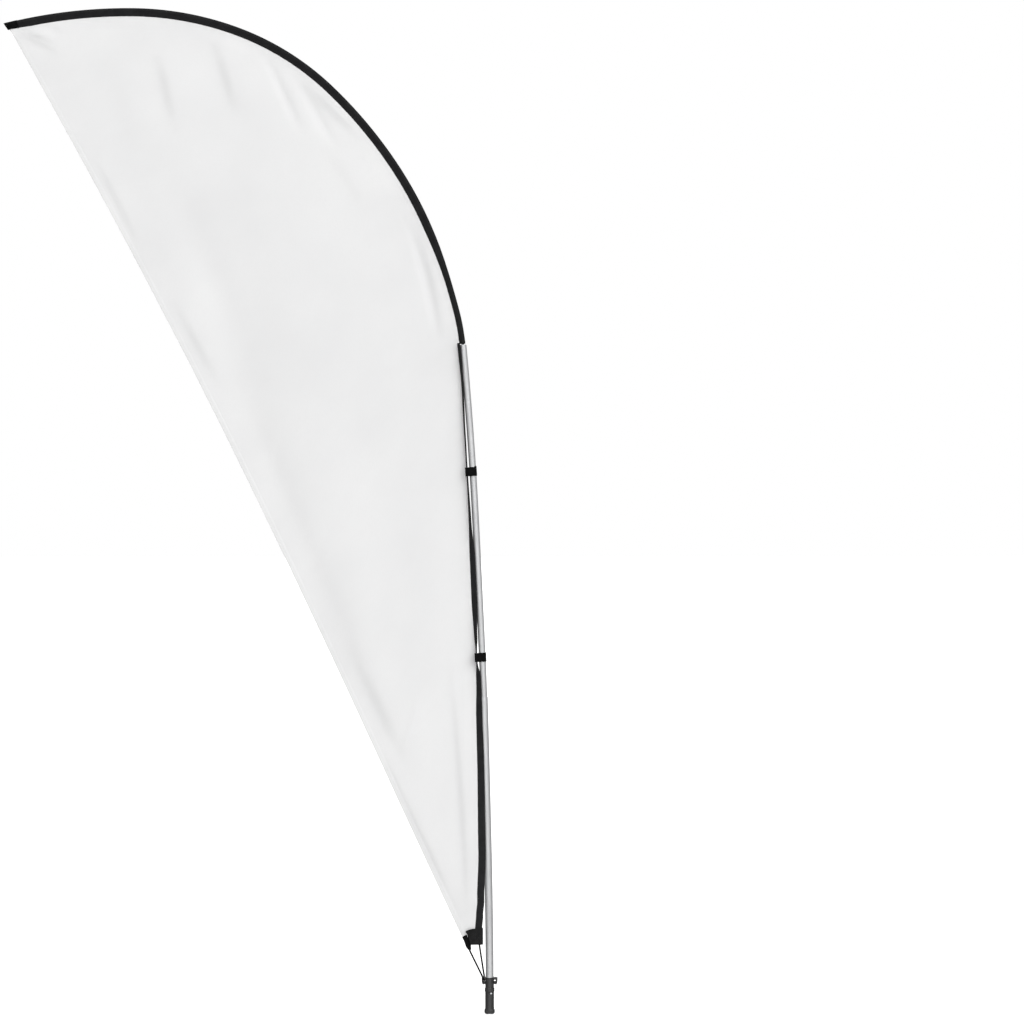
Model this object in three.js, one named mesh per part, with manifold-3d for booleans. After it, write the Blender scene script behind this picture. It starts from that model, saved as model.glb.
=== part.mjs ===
// Teardrop flag: a turning foot, a two-piece tube mast, a sprung bow in a sewn pocket, and the sail it holds.
// Millimetres, +Z up. The origin is on the turning axis, at the bottom of the rotator.
// The sail lies in the XZ plane, on the -X side of the mast.
import * as THREE from "three";
import { mergeVertices } from "three/addons/utils/BufferGeometryUtils.js";
import Module from "manifold-3d";

const wasm = await Module();
wasm.setup();

// ---- Fits ----
const gap = 0.3; // between pieces that touch
const runningClearance = 0.3; // radial, between the rotator and what turns on it
const rodClearance = 0.5; // radial, between the bow and its seat in the mast

// ---- Rotator, which stays still on the ground spindle ----
const spindleBore = 10.4;
const coreDiameter = 13;
const coreFlangeDiameter = 24;
const coreFlangeHeight = 1.2;
const ringThickness = 1;
const ringWidth = 2;
const grooveDepth = 0.6;
const coreEnd = 2.4; // above the retaining ring's groove

// ---- Foot fitting ----
const footHeight = 102; // ground end to the top of the hook collar
const rimProud = 2.2; // of the sleeve
const rimTop = 13;
const sleeveWall = 1.2;
const collarProud = 1.1;
const collarBottom = 62;
const collarTop = 72;
const shoulderTop = 6;
const neckWall = 0.9;
const bushLength = 14;
const upperBushDrop = 6; // bush top below the top of the hook collar
const rivetHeight = 58;
const rivetAngle = -69; // round from +X
const rivetHeadRadius = 3.2;
const rivetHeadHeight = 1.5;
const rivetShankRadius = 1.9;

// ---- Tubes and bow ----
const lowerTubeDiameter = 22;
const tubeWall = 1.2;
const lowerTubeTop = 886; // along the mast, from the ground end
const plugDepth = 120; // of the upper tube in the lower one
const upperTubeTop = 1874;
const rodDiameter = 8.5;
const rodSeatDepth = 150;
const rodSeatFloor = 4;
const bowLength = 1790;
const bowJoint = 0.45; // share of the bow below its ferrule
const ferruleLength = 80;
const ferruleWall = 0.65;
const tipCapLength = 22;
const tipCapWall = 0.7;

// ---- Sail and sewn parts ----
const clothThickness = 0.6;
const pocketRadius = 6.4;
const pocketWall = 0.6;
const tipPatchLength = 34;
const tipPatchWall = 0.9;
const tapeWidth = 20;
const tapeThickness = 1.3;
const seamGap = 0.8;
const cornerHeight = 242; // lowest seam of the sail and the luff tape
const bandFront = -11.2; // the corner band's folded webbing, at its mid thickness
const bandBack = 1.2;
const bandRight = -19;
const bandLeft = -65.5;
const bandHeight = 41;
const leechHollow = 33;
const camberShare = 0.04; // of the sail's width at each place
const webbingThickness = 1.6;
const cordDiameter = 4;

// ---- Straps ----
const strapHeights = { lower: 998, upper: 1518 };
const strapWidth = 25;
const strapThickness = 1.4;
const strapClearance = 0.4;
const flapReach = 21; // from the mast's axis to the free end

// ---- Hooks ----
const hookArm = 5;
const hookCorner = 3.4; // radius of the outer corner
const hookDrop = 21.5;
const hookSlot = cordDiameter + 1.2;
const hookSlotTop = 6.4; // below the collar's top
const hookWindow = cordDiameter + 1.6; // height of the slot that goes right through
const hookBackWall = 2; // closes the rest of the slot behind
const cordBendRadius = 8;
const hookDepth = 2 * (cordBendRadius - cordDiameter / 2 - gap);

// ---- Worked out from the values above ----
const tubeFootRadius = lowerTubeDiameter / 2 + gap;
const sleeveRadius = tubeFootRadius + sleeveWall;
const upperTubeDiameter = lowerTubeDiameter - 2 * (tubeWall + gap);
const neckRadius = tubeFootRadius + neckWall;
const hookReach = neckRadius + hookSlot + hookArm;
const runningBore = coreDiameter / 2 + runningClearance;
const bushRadius = lowerTubeDiameter / 2 - tubeWall - gap;
const pocketStart = upperTubeTop + 3;
const bowEnd = pocketStart + bowLength;
const rodEnd = bowEnd - 14;
const rodJoint = pocketStart + bowJoint * bowLength;
const radians = THREE.MathUtils.degToRad;

// Lean of the mast from upright, in degrees, at places along it. Even through the foot and the tube joint.
const leans = [
  [0, 0],
  [footHeight, 0],
  [footHeight + 58, 0.5],
  [lowerTubeTop / 2, 1.3],
  [lowerTubeTop - plugDepth, 1.6],
  [lowerTubeTop, 1.6],
  [lowerTubeTop + 110, 2.7],
  [(lowerTubeTop + upperTubeTop) / 2, 2.9],
  [upperTubeTop, 5.3],
  [pocketStart + 0.05 * bowLength, 14.5],
  [pocketStart + 0.13 * bowLength, 18],
  [pocketStart + 0.3 * bowLength, 33.5],
  [pocketStart + 0.46 * bowLength, 46.5],
  [pocketStart + 0.63 * bowLength, 69.5],
  [pocketStart + 0.8 * bowLength, 89.5],
  [bowEnd, 104],
];

// Width of the pocket on the sail's side of the bow, at shares of the bow: snug at the mouth.
const pocketWidths = [
  [0, 10],
  [0.09, 10],
  [0.2, 16],
  [0.96, 16],
  [1, 12],
];

// The luff tape: place along the mast, its middle beside the axis and behind it, and its turn from face-on.
// It lies across the front of the mast and is drawn edge-on at each strap.
const lowerTubeFront = lowerTubeDiameter / 2;
const upperTubeSide = -upperTubeDiameter / 2;
const tapeInBand = bandRight - webbingThickness / 2 - 1 - tapeWidth / 2;
const tapeStations = [
  [cornerHeight - 28, tapeInBand, -5, 10],
  [cornerHeight - 2, tapeInBand + 0.2, -5, 10],
  [cornerHeight + 18, tapeInBand + 3.6, -7, 10],
  [cornerHeight + 76, -22.6, 0.5 - lowerTubeFront, 5],
  [cornerHeight + 215, -16.3, -2.2 - lowerTubeFront, 3],
  [strapHeights.lower - 288, -14.1, 1.6 - lowerTubeFront, 20],
  [strapHeights.lower - 170, -14.6, 4.2 - lowerTubeFront, 33],
  [strapHeights.lower - 60, upperTubeSide - 3.9, -4.6, 51],
  [strapHeights.lower - strapWidth / 2, upperTubeSide - 6.5, 0, 82],
  [strapHeights.lower + strapWidth / 2, upperTubeSide - 6.5, 0, 82],
  [strapHeights.lower + 60, upperTubeSide - 6.4, -0.8, 62],
  [strapHeights.lower + 160, upperTubeSide - 5.5, -4.8, 40],
  [strapHeights.lower + 272, upperTubeSide - 5.3, -4.2, 45],
  [strapHeights.upper - 138, upperTubeSide - 6.5, -1, 74],
  [strapHeights.upper - strapWidth / 2, upperTubeSide - 7, 0, 82],
  [strapHeights.upper + strapWidth / 2, upperTubeSide - 7, 0, 82],
  [strapHeights.upper + 110, upperTubeSide - 6, 0, 85],
  [upperTubeTop - 100, upperTubeSide - 2.5, 0, 82],
  [pocketStart - 6, upperTubeSide - 3, -6, 70],
];

// ---- Geometry helpers ----

function bracket(stations, place) {
  let i = 1;
  while (i < stations.length - 1 && stations[i][0] < place) i++;
  const [a, b] = [stations[i - 1], stations[i]];
  const share = THREE.MathUtils.clamp((place - a[0]) / (b[0] - a[0]), 0, 1);
  return [a, b, share];
}

// A value read from stations, changing evenly between them.
function evenly(stations, place) {
  const [a, b, share] = bracket(stations, place);
  return a[1] + (b[1] - a[1]) * share;
}

// The same, easing in and out of each station.
function easily(stations, place, column = 1) {
  const [a, b, share] = bracket(stations, place);
  return a[column] + (b[column] - a[column]) * share * share * (3 - 2 * share);
}

// The mast's axis, found by walking up it in small steps.
const mastStep = 2;
const mastPoints = [new THREE.Vector3()];
for (let s = 0; s < bowEnd + 50; s += mastStep) {
  const lean = radians(evenly(leans, s + mastStep / 2));
  const last = mastPoints.at(-1);
  const next = new THREE.Vector3(last.x - mastStep * Math.sin(lean), 0, last.z + mastStep * Math.cos(lean));
  mastPoints.push(next);
}

// The axis at a place along it, with the direction across it in the sail's plane, away from the sail.
function mastAt(s) {
  const i = Math.min(Math.floor(s / mastStep), mastPoints.length - 2);
  const point = mastPoints[i].clone().lerp(mastPoints[i + 1], s / mastStep - i);
  const lean = radians(evenly(leans, s));
  return { point, lean, across: new THREE.Vector3(Math.cos(lean), 0, Math.sin(lean)) };
}

// The point beside the mast's axis: `side` across it and `back` along +Y.
function beside(s, side, back = 0) {
  const { point, across } = mastAt(s);
  point.addScaledVector(across, side);
  point.y += back;
  return point;
}

class MastLine extends THREE.Curve {
  constructor(from, to) {
    super();
    this.from = from;
    this.to = to;
  }
  getPoint(t) {
    return mastAt(this.from + t * (this.to - this.from)).point;
  }
}

// Places from one end to the other, no further apart than `step`.
function places(from, to, step) {
  const count = Math.ceil((to - from) / step);
  return Array.from({ length: count + 1 }, (_, i) => from + ((to - from) * i) / count);
}

function signedVolume(geometry) {
  const position = geometry.getAttribute("position");
  const index = geometry.index.array;
  const [a, b, c] = [new THREE.Vector3(), new THREE.Vector3(), new THREE.Vector3()];
  let sum = 0;
  for (let i = 0; i < index.length; i += 3) {
    a.fromBufferAttribute(position, index[i]);
    b.fromBufferAttribute(position, index[i + 1]);
    c.fromBufferAttribute(position, index[i + 2]);
    sum += a.dot(b.cross(c)) / 6;
  }
  return sum;
}

// The geometry with shared corners merged and every face pointing out.
function closed(geometry) {
  for (const name of ["normal", "uv"]) geometry.deleteAttribute(name);
  const merged = mergeVertices(geometry, 1e-3);
  const index = merged.index.array;
  const faces = [];
  for (let i = 0; i < index.length; i += 3) {
    const [a, b, c] = [index[i], index[i + 1], index[i + 2]];
    if (a !== b && b !== c && c !== a) faces.push(a, b, c);
  }
  merged.setIndex(faces);
  if (signedVolume(merged) < 0) merged.setIndex(faces.reverse());
  return merged;
}

function solidOf(geometry) {
  const shape = closed(geometry);
  const vertProperties = new Float32Array(shape.getAttribute("position").array);
  const triVerts = new Uint32Array(shape.index.array);
  return new wasm.Manifold(new wasm.Mesh({ numProp: 3, vertProperties, triVerts }));
}

function geometryOf(solid) {
  const { vertProperties, triVerts } = solid.getMesh();
  const geometry = new THREE.BufferGeometry();
  geometry.setAttribute("position", new THREE.BufferAttribute(vertProperties, 3));
  geometry.setIndex(new THREE.BufferAttribute(triVerts, 1));
  return geometry;
}

// A closed profile of [radius, height] points turned round +Z.
function turned(profile, sides = 36) {
  const points = [...profile, profile[0]].map(([radius, height]) => new THREE.Vector2(radius, height));
  return closed(new THREE.LatheGeometry(points, sides).rotateX(Math.PI / 2));
}

// A plain ring or tube standing on `bottom`.
function collar(inner, outer, bottom, top) {
  return turned([[inner, bottom], [outer, bottom], [outer, top], [inner, top]]);
}

// A round rod or, with a bore, a tube along a curve. `segments` is half its number of sides.
function swept(curve, radius, bore, steps, segments) {
  const section = new THREE.Shape().absarc(0, 0, radius, 0, 2 * Math.PI);
  if (bore) section.holes.push(new THREE.Path().absarc(0, 0, bore, 0, 2 * Math.PI, true));
  return closed(new THREE.ExtrudeGeometry(section, { steps, curveSegments: segments, extrudePath: curve }));
}

// A surface through rows of points. Each row is a ring of the same number of points.
class Skin {
  constructor() {
    this.points = [];
    this.faces = [];
  }
  ring(points) {
    const start = this.points.length;
    this.points.push(...points);
    return points.map((_, i) => start + i);
  }
  quad(a, b, c, d) {
    this.faces.push(a, b, c, a, c, d);
  }
  // A band between two rings, facing out where they run anticlockwise about the way from one to the other.
  // Both faces of a thin twisted sheet are split along the same diagonal, so that they never cross.
  band(low, high) {
    low.forEach((_, i) => {
      const next = (i + 1) % low.length;
      if (i < low.length / 2) this.quad(low[i], low[next], high[next], high[i]);
      else this.quad(low[next], high[next], high[i], low[i]);
    });
  }
  // A ring filled across from its first half to its second.
  cap(ring) {
    for (let i = 0; i < ring.length / 2 - 1; i++) {
      this.quad(ring[i], ring[ring.length - 1 - i], ring[ring.length - 2 - i], ring[i + 1]);
    }
  }
  geometry() {
    const geometry = new THREE.BufferGeometry().setFromPoints(this.points);
    geometry.setIndex(this.faces);
    return closed(geometry);
  }
}

// A solid through rings of points, closed at both ends.
function loft(rings) {
  const skin = new Skin();
  const rows = rings.map((points) => skin.ring(points));
  for (let i = 1; i < rows.length; i++) skin.band(rows[i - 1], rows[i]);
  skin.cap(rows[0]);
  skin.cap(rows.at(-1).toReversed());
  return skin.geometry();
}

// A thin-walled sleeve between outer and inner rings, open at its first end and, unless `shut`, at its last.
function sleeve(outerRings, innerRings, shut = false) {
  const skin = new Skin();
  const outer = outerRings.map((points) => skin.ring(points));
  const inner = innerRings.map((points) => skin.ring(points));
  for (let i = 1; i < outer.length; i++) skin.band(outer[i - 1], outer[i]);
  for (let i = 1; i < inner.length; i++) skin.band(inner[i], inner[i - 1]);
  skin.band(inner[0], outer[0]);
  if (shut) {
    skin.cap(outer.at(-1).toReversed());
    skin.cap(inner.at(-1));
  } else {
    skin.band(outer.at(-1), inner.at(-1));
  }
  return skin.geometry();
}

// An upright ribbon along a plan path of [x, y] points. `low` and `high` give its edges' heights at an x.
function ribbon(path, thickness, low, high) {
  const points = path.map(([x, y]) => new THREE.Vector2(x, y));
  const rings = points.map((point, i) => {
    const before = points[Math.max(i - 1, 0)];
    const after = points[Math.min(i + 1, points.length - 1)];
    const incoming = point.clone().sub(before).normalize();
    const outgoing = after.clone().sub(point).normalize();
    const along = incoming.clone().add(outgoing).normalize();
    const side = new THREE.Vector2(-along.y, along.x);
    const turn = Math.max(along.dot(i ? incoming : outgoing), 0.5);
    const reach = thickness / 2 / turn;
    const [left, right] = [1, -1].map((sign) => point.clone().addScaledVector(side, sign * reach));
    return [
      new THREE.Vector3(left.x, left.y, low(point.x)),
      new THREE.Vector3(right.x, right.y, low(point.x)),
      new THREE.Vector3(right.x, right.y, high(point.x)),
      new THREE.Vector3(left.x, left.y, high(point.x)),
    ];
  });
  return loft(rings);
}

function arc(centreX, centreY, radius, fromDegrees, toDegrees, steps) {
  return Array.from({ length: steps + 1 }, (_, i) => {
    const angle = radians(fromDegrees + ((toDegrees - fromDegrees) * i) / steps);
    return [centreX + radius * Math.cos(angle), centreY + radius * Math.sin(angle)];
  });
}

// ---- Materials ----

function material(color, roughness, metalness = 0) {
  return new THREE.MeshStandardMaterial({ color, roughness, metalness });
}

const aluminium = material(0xcfd1d3, 0.35, 1);
const fibreglass = material(0x2a2b2c, 0.45);
const blackPlastic = material(0x3a3b3c, 0.5);
const bushPlastic = material(0xd9d8d2, 0.5);
const steel = material(0xb8bbbf, 0.3, 1);
const sailCloth = material(0xeeeeed, 0.85);
const blackCloth = material(0x202123, 0.85);
const webbing = material(0x161718, 0.9);
const elastic = material(0x121213, 0.8);

function piece(name, geometry, finish) {
  const mesh = new THREE.Mesh(geometry, finish);
  mesh.name = name;
  return mesh;
}

// ---- Rotator ----

const coreGrooveTop = footHeight - upperBushDrop + gap + ringThickness + gap;
const coreTop = coreGrooveTop + coreEnd;

function rotatorCore() {
  const radius = coreDiameter / 2;
  const grooveBottom = coreGrooveTop - ringThickness - gap;
  return turned([
    [spindleBore / 2, 0],
    [coreFlangeDiameter / 2, 0],
    [coreFlangeDiameter / 2, coreFlangeHeight],
    [radius, coreFlangeHeight],
    [radius, grooveBottom],
    [radius - grooveDepth, grooveBottom],
    [radius - grooveDepth, coreGrooveTop],
    [radius, coreGrooveTop],
    [radius, coreTop],
    [spindleBore / 2, coreTop],
  ]);
}

// An open spring ring, seated in the core's groove above the upper bush.
function retainingRing() {
  const inner = coreDiameter / 2 - grooveDepth + gap;
  const opening = 0.35; // half of it, radians
  const shape = new THREE.Shape();
  shape.absarc(0, 0, inner + ringWidth, opening, 2 * Math.PI - opening);
  shape.absarc(0, 0, inner, 2 * Math.PI - opening, opening, true);
  const ring = new THREE.ExtrudeGeometry(shape, {
    depth: ringThickness,
    bevelEnabled: false,
    curveSegments: 12,
  });
  return closed(ring.translate(0, 0, coreGrooveTop - gap / 2 - ringThickness));
}

// ---- Foot fitting ----

// A straight bar through the foot's wall, square to the axis, where the rivet goes.
function rivetBar(radius, from, to) {
  const bar = new THREE.CylinderGeometry(radius, radius, to - from, 20);
  bar.rotateZ(-Math.PI / 2).translate((from + to) / 2, 0, rivetHeight);
  return bar.rotateZ(radians(rivetAngle));
}

function rivetHole() {
  return solidOf(rivetBar(rivetShankRadius + gap, tubeFootRadius / 2, 2 * sleeveRadius));
}

function footSleeve() {
  const rimRadius = sleeveRadius + rimProud;
  const collarRadius = sleeveRadius + collarProud;
  const bottom = coreFlangeHeight + gap;
  const body = turned([
    [runningBore, bottom],
    [rimRadius - 1, bottom],
    [rimRadius, bottom + 1.2],
    [rimRadius, rimTop - 2.5],
    [sleeveRadius + 0.6, rimTop],
    [sleeveRadius, rimTop + 1.5],
    [sleeveRadius, collarBottom - 1],
    [collarRadius, collarBottom + 0.6],
    [collarRadius, collarTop - 1],
    [collarRadius - 1, collarTop],
    [tubeFootRadius, collarTop],
    [tubeFootRadius, shoulderTop],
    [runningBore, shoulderTop],
  ]);
  return geometryOf(solidOf(body).subtract(rivetHole()));
}

function sleeveRivet() {
  const seat = sleeveRadius + gap;
  const inside = lowerTubeDiameter / 2 - tubeWall - 0.6;
  const shank = solidOf(rivetBar(rivetShankRadius, inside, seat + 0.4));
  const dome = new THREE.LatheGeometry(
    [[0, 0], [1, 0], [1, 0.3], [0.78, 0.75], [0.42, 0.96], [0, 1]].map(
      ([r, h]) => new THREE.Vector2(r * rivetHeadRadius, seat + h * rivetHeadHeight),
    ),
    20,
  );
  dome.rotateZ(-Math.PI / 2).translate(0, 0, rivetHeight).rotateZ(radians(rivetAngle));
  return geometryOf(shank.add(solidOf(dome)));
}

// One hook's outline: out from the collar, down round the slot, to a tip that leaves the way in below.
function hookOutline() {
  const slotSide = neckRadius + hookSlot;
  const slotEnd = -hookSlotTop - hookSlot / 2;
  const shape = new THREE.Shape();
  shape.moveTo(neckRadius - neckWall / 2, 0);
  shape.lineTo(hookReach - hookCorner, 0);
  shape.absarc(hookReach - hookCorner, -hookCorner, hookCorner, Math.PI / 2, 0, true);
  shape.lineTo(hookReach - 0.2, -0.5 * hookDrop);
  shape.lineTo(hookReach - 2.2, -0.85 * hookDrop);
  shape.lineTo(hookReach - 4, -hookDrop);
  shape.lineTo(slotSide - 0.3, 0.6 - hookDrop);
  shape.lineTo(slotSide, -0.78 * hookDrop);
  shape.absarc(slotSide - hookSlot / 2, slotEnd, hookSlot / 2, 0, Math.PI, false);
  shape.lineTo(neckRadius - neckWall / 2, slotEnd - 1);
  return shape;
}

// The wall behind one hook's slot, below the window that the cord goes through.
function hookBack(side) {
  const inner = neckRadius - neckWall / 2;
  const outer = neckRadius + hookSlot + hookArm / 8;
  const top = -hookSlotTop - hookWindow;
  const bottom = 0.5 - hookDrop;
  const wall = new THREE.BoxGeometry(outer - inner, hookBackWall, top - bottom);
  const middle = (Math.cos(side) * (inner + outer)) / 2;
  return wall.translate(middle, (hookDepth - hookBackWall) / 2, footHeight + (top + bottom) / 2);
}

function hookCollar() {
  const body = turned([
    [tubeFootRadius, collarTop + gap],
    [neckRadius, collarTop + gap],
    [neckRadius, footHeight - 0.8],
    [neckRadius - 0.4, footHeight],
    [tubeFootRadius, footHeight],
  ]);
  let solid = solidOf(body);
  for (const side of [0, Math.PI]) {
    const hook = new THREE.ExtrudeGeometry(hookOutline(), {
      depth: hookDepth,
      bevelEnabled: false,
      curveSegments: 5,
    });
    hook.translate(0, footHeight, -hookDepth / 2).rotateX(Math.PI / 2).rotateZ(side);
    solid = solid.add(solidOf(hook));
    solid = solid.add(solidOf(hookBack(side)));
  }
  const cordInHook = new THREE.CatmullRomCurve3(cordRoute.slice(4, 16));
  const groove = swept(cordInHook, cordDiameter / 2 + gap, 0, 36, 8);
  return geometryOf(solid.subtract(solidOf(groove)));
}

function bush(bottom) {
  return collar(runningBore, bushRadius, bottom, bottom + bushLength);
}

// ---- Mast ----

function lowerTube() {
  const radius = lowerTubeDiameter / 2;
  const line = new MastLine(shoulderTop + gap, lowerTubeTop);
  const tube = swept(line, radius, radius - tubeWall, 12, 12);
  return geometryOf(solidOf(tube).subtract(rivetHole()));
}

function upperTube() {
  const radius = upperTubeDiameter / 2;
  const line = new MastLine(lowerTubeTop - plugDepth, upperTubeTop);
  return swept(line, radius, radius - tubeWall, 15, 12);
}

// The plug in the top of the mast that the bow stands in.
function rodSeat() {
  const radius = upperTubeDiameter / 2 - tubeWall - gap;
  const bottom = upperTubeTop - rodSeatDepth - rodSeatFloor;
  const plug = solidOf(swept(new MastLine(bottom, upperTubeTop - 0.5), radius, 0, 3, 10));
  const boreLine = new MastLine(bottom + rodSeatFloor, upperTubeTop + 6);
  const bore = swept(boreLine, rodDiameter / 2 + rodClearance, 0, 3, 10);
  return geometryOf(plug.subtract(solidOf(bore)));
}

function rod(from, to) {
  return swept(new MastLine(from, to), rodDiameter / 2, 0, Math.ceil((to - from) / 45), 5);
}

function bowFerrule() {
  const bore = rodDiameter / 2 + gap;
  const line = new MastLine(rodJoint - ferruleLength / 2, rodJoint + ferruleLength / 2);
  return swept(line, bore + ferruleWall, bore, 2, 8);
}

function bowTipCap() {
  const bore = rodDiameter / 2 + gap;
  const start = rodEnd - tipCapLength + 4;
  const body = solidOf(swept(new MastLine(start, rodEnd + 4), bore + tipCapWall, 0, 2, 8));
  return geometryOf(body.subtract(solidOf(swept(new MastLine(start - 4, rodEnd + gap), bore, 0, 2, 8))));
}

// ---- Sewn parts ----

// The pocket's section: round over the bow, drawn to a flat seam on the sail's side.
function pocketRing(s, radius, width, seam) {
  const round = arc(0, 0, radius, -115, 115, 8);
  const section = [[-width, -seam], ...round, [-width, seam]];
  return section.map(([side, back]) => beside(s, side, back));
}

function pocketWidth(s) {
  return easily(pocketWidths, (s - pocketStart) / bowLength);
}

const patchStart = bowEnd - tipPatchLength;
const pocketPlaces = [...places(pocketStart, patchStart, 45), bowEnd];

function bowPocket() {
  const outer = pocketPlaces.map((s) => pocketRing(s, pocketRadius, pocketWidth(s), 0.8));
  const inner = pocketPlaces.map((s) => pocketRing(s, pocketRadius - pocketWall, pocketWidth(s) - 2, 0.2));
  return sleeve(outer, inner);
}

// A doubled patch closed over the end of the pocket.
function tipPatch() {
  const clear = pocketRadius + gap;
  const wide = pocketWidth(patchStart) + gap + 0.2;
  const narrow = pocketWidth(bowEnd) + gap + 0.2;
  const ring = (s, more, width) => pocketRing(s, clear + more, width + more, 0.8 + gap + more);
  const ends = (more, last) => [
    ring(patchStart, more, wide),
    ring(bowEnd, more, narrow),
    ring(last, more, narrow),
  ];
  return sleeve(ends(tipPatchWall, bowEnd + 2), ends(0, bowEnd + gap), true);
}

// The tape at a place along the mast: its middle, and the direction from the sail's edge to the free edge.
function tapeAt(s) {
  const [side, back, turn] = [1, 2, 3].map((column) => easily(tapeStations, s, column));
  const { across } = mastAt(s);
  const middle = beside(s, side, back);
  const toFreeEdge = across.clone().multiplyScalar(Math.cos(radians(turn)));
  toFreeEdge.y = -Math.sin(radians(turn));
  const faceOut = across.clone().multiplyScalar(Math.sin(radians(turn)));
  faceOut.y = Math.cos(radians(turn));
  return { middle, toFreeEdge, faceOut };
}

const tapePlaces = tapeStations.flatMap(([s], i) => {
  return i ? places(tapeStations[i - 1][0], s, 55).slice(1) : [s];
});

function luffTape() {
  const rings = tapePlaces.map((s) => {
    const { middle, toFreeEdge, faceOut } = tapeAt(s);
    return [[-1, -1], [1, -1], [1, 1], [-1, 1]].map(([edge, face]) =>
      middle
        .clone()
        .addScaledVector(toFreeEdge, (edge * tapeWidth) / 2)
        .addScaledVector(faceOut, (face * tapeThickness) / 2),
    );
  });
  return loft(rings);
}

// The sail's edge beside the tape, then beside the pocket.
function sparEdge() {
  const luff = tapePlaces.slice(1).map((s) => {
    const { middle, toFreeEdge } = tapeAt(s);
    return middle.addScaledVector(toFreeEdge, -tapeWidth / 2 - seamGap);
  });
  const bowPlaces = [...pocketPlaces.slice(0, -2), patchStart - 6];
  return [...luff, ...bowPlaces.map((s) => beside(s, -pocketWidth(s) - seamGap))];
}

const sailCorner = new THREE.Vector3(-78.5, -5, cornerHeight - 23.5);
const leechTop = beside(bowEnd - 20, -24.2);

// The free edge, hollowed towards the mast, from the bottom corner to the tip.
function leechPoint(share) {
  const chord = leechTop.clone().sub(sailCorner);
  const inward = new THREE.Vector3(chord.z, 0, -chord.x).normalize();
  const point = sailCorner.clone().addScaledVector(chord, share);
  return point.addScaledVector(inward, leechHollow * Math.sin(Math.PI * share ** 1.2));
}

// The sail, a thin sheet in rows from its mast edge to its free edge, with a little belly to the front.
function sailPanel() {
  const spar = sparEdge();
  const lengths = spar.map((point, i) => (i ? point.distanceTo(spar[i - 1]) : 0));
  const total = lengths.reduce((sum, length) => sum + length, 0);
  const columns = 6;
  let run = 0;
  const rings = spar.map((start, i) => {
    run += lengths[i];
    const end = leechPoint(run / total);
    const row = Array.from({ length: columns + 1 }, (_, j) => {
      const point = start.clone().lerp(end, j / columns);
      point.y -= camberShare * start.distanceTo(end) * Math.sin((Math.PI * j) / columns);
      return point;
    });
    const face = (offset) => row.map((point) => point.clone().setY(point.y + offset));
    return [...face(-clothThickness / 2), ...face(clothThickness / 2).reverse()];
  });
  return loft(rings);
}

// ---- Bottom corner ----

// A band of wide webbing folded round the corner, open at the top and on the sail's side.
const bandBottom = cornerHeight - 48;

function cornerBand() {
  const radius = (bandBack - bandFront) / 2;
  const fold = arc(bandRight - radius, (bandBack + bandFront) / 2, radius, -90, 90, 6);
  const path = [[bandLeft, bandFront], ...fold, [bandLeft + 5, bandBack]];
  const rim = (x) => bandBottom + bandHeight - 5 + (8 * (x - bandLeft)) / (bandRight - bandLeft);
  return ribbon(path, webbingThickness, () => bandBottom, rim);
}

// The folded tab that carries the free edge's pull down to the cord, set out from the sail's corner.
function cornerTab() {
  const outline = [
    [1.2, -3.7],
    [14.9, 6.6],
    [25.6, -23.9],
    [26.7, -39.9],
    [22.2, -42.7],
    [12.7, -31.5],
    [6.5, -13.5],
  ];
  const points = outline.map(([x, z]) => new THREE.Vector2(x, z));
  const thickness = 2.5 * webbingThickness;
  const tab = new THREE.ExtrudeGeometry(new THREE.Shape(points), { depth: thickness, bevelEnabled: false });
  tab.rotateX(Math.PI / 2).translate(sailCorner.x, sailCorner.y + thickness / 2, sailCorner.z);
  return closed(tab);
}

// The elastic cord: from the tab, down the front of the hook, through the slot, and up to its knot.
const cordRoute = [
  [-54.3, -5.0, 174.4],
  [-51.2, -5.2, 168.0],
  [-43.6, -5.9, 152.6],
  [-35.0, -6.7, 135.4],
  [-26.9, -7.6, 119.0],
  [-21.9, -8.0, 108.8],
  [-18.9, -7.8, 102.2],
  [-17.1, -6.6, 97.8],
  [-15.8, -4.3, 94.9],
  [-15.0, -1.4, 93.5],
  [-14.8, 1.7, 93.5],
  [-14.8, 4.8, 94.9],
  [-14.8, 7.1, 97.7],
  [-15.0, 8.0, 101.4],
  [-16.2, 7.8, 109.0],
  [-18.2, 6.6, 122.0],
  [-20.9, 4.2, 140.0],
  [-23.9, 0.9, 160.0],
  [-26.7, -2.2, 180.0],
  [-28.4, -4.0, 192.0],
  [-29.4, -4.8, 200.0],
].map(([x, y, z]) => new THREE.Vector3(x, y, z));

function tensionCord() {
  return swept(new THREE.CatmullRomCurve3(cordRoute), cordDiameter / 2, 0, 44, 4);
}

function cordKnot() {
  const end = cordRoute.at(-1);
  const knot = new THREE.SphereGeometry(1, 14, 10).rotateX(Math.PI / 2);
  knot.scale(1.15 * cordDiameter, cordDiameter, 1.4 * cordDiameter);
  return closed(knot.translate(end.x, end.y, end.z + 1.4 * cordDiameter + gap));
}

// ---- Straps ----

const foldAngle = -35; // round from the side away from the sail, towards the front

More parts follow.
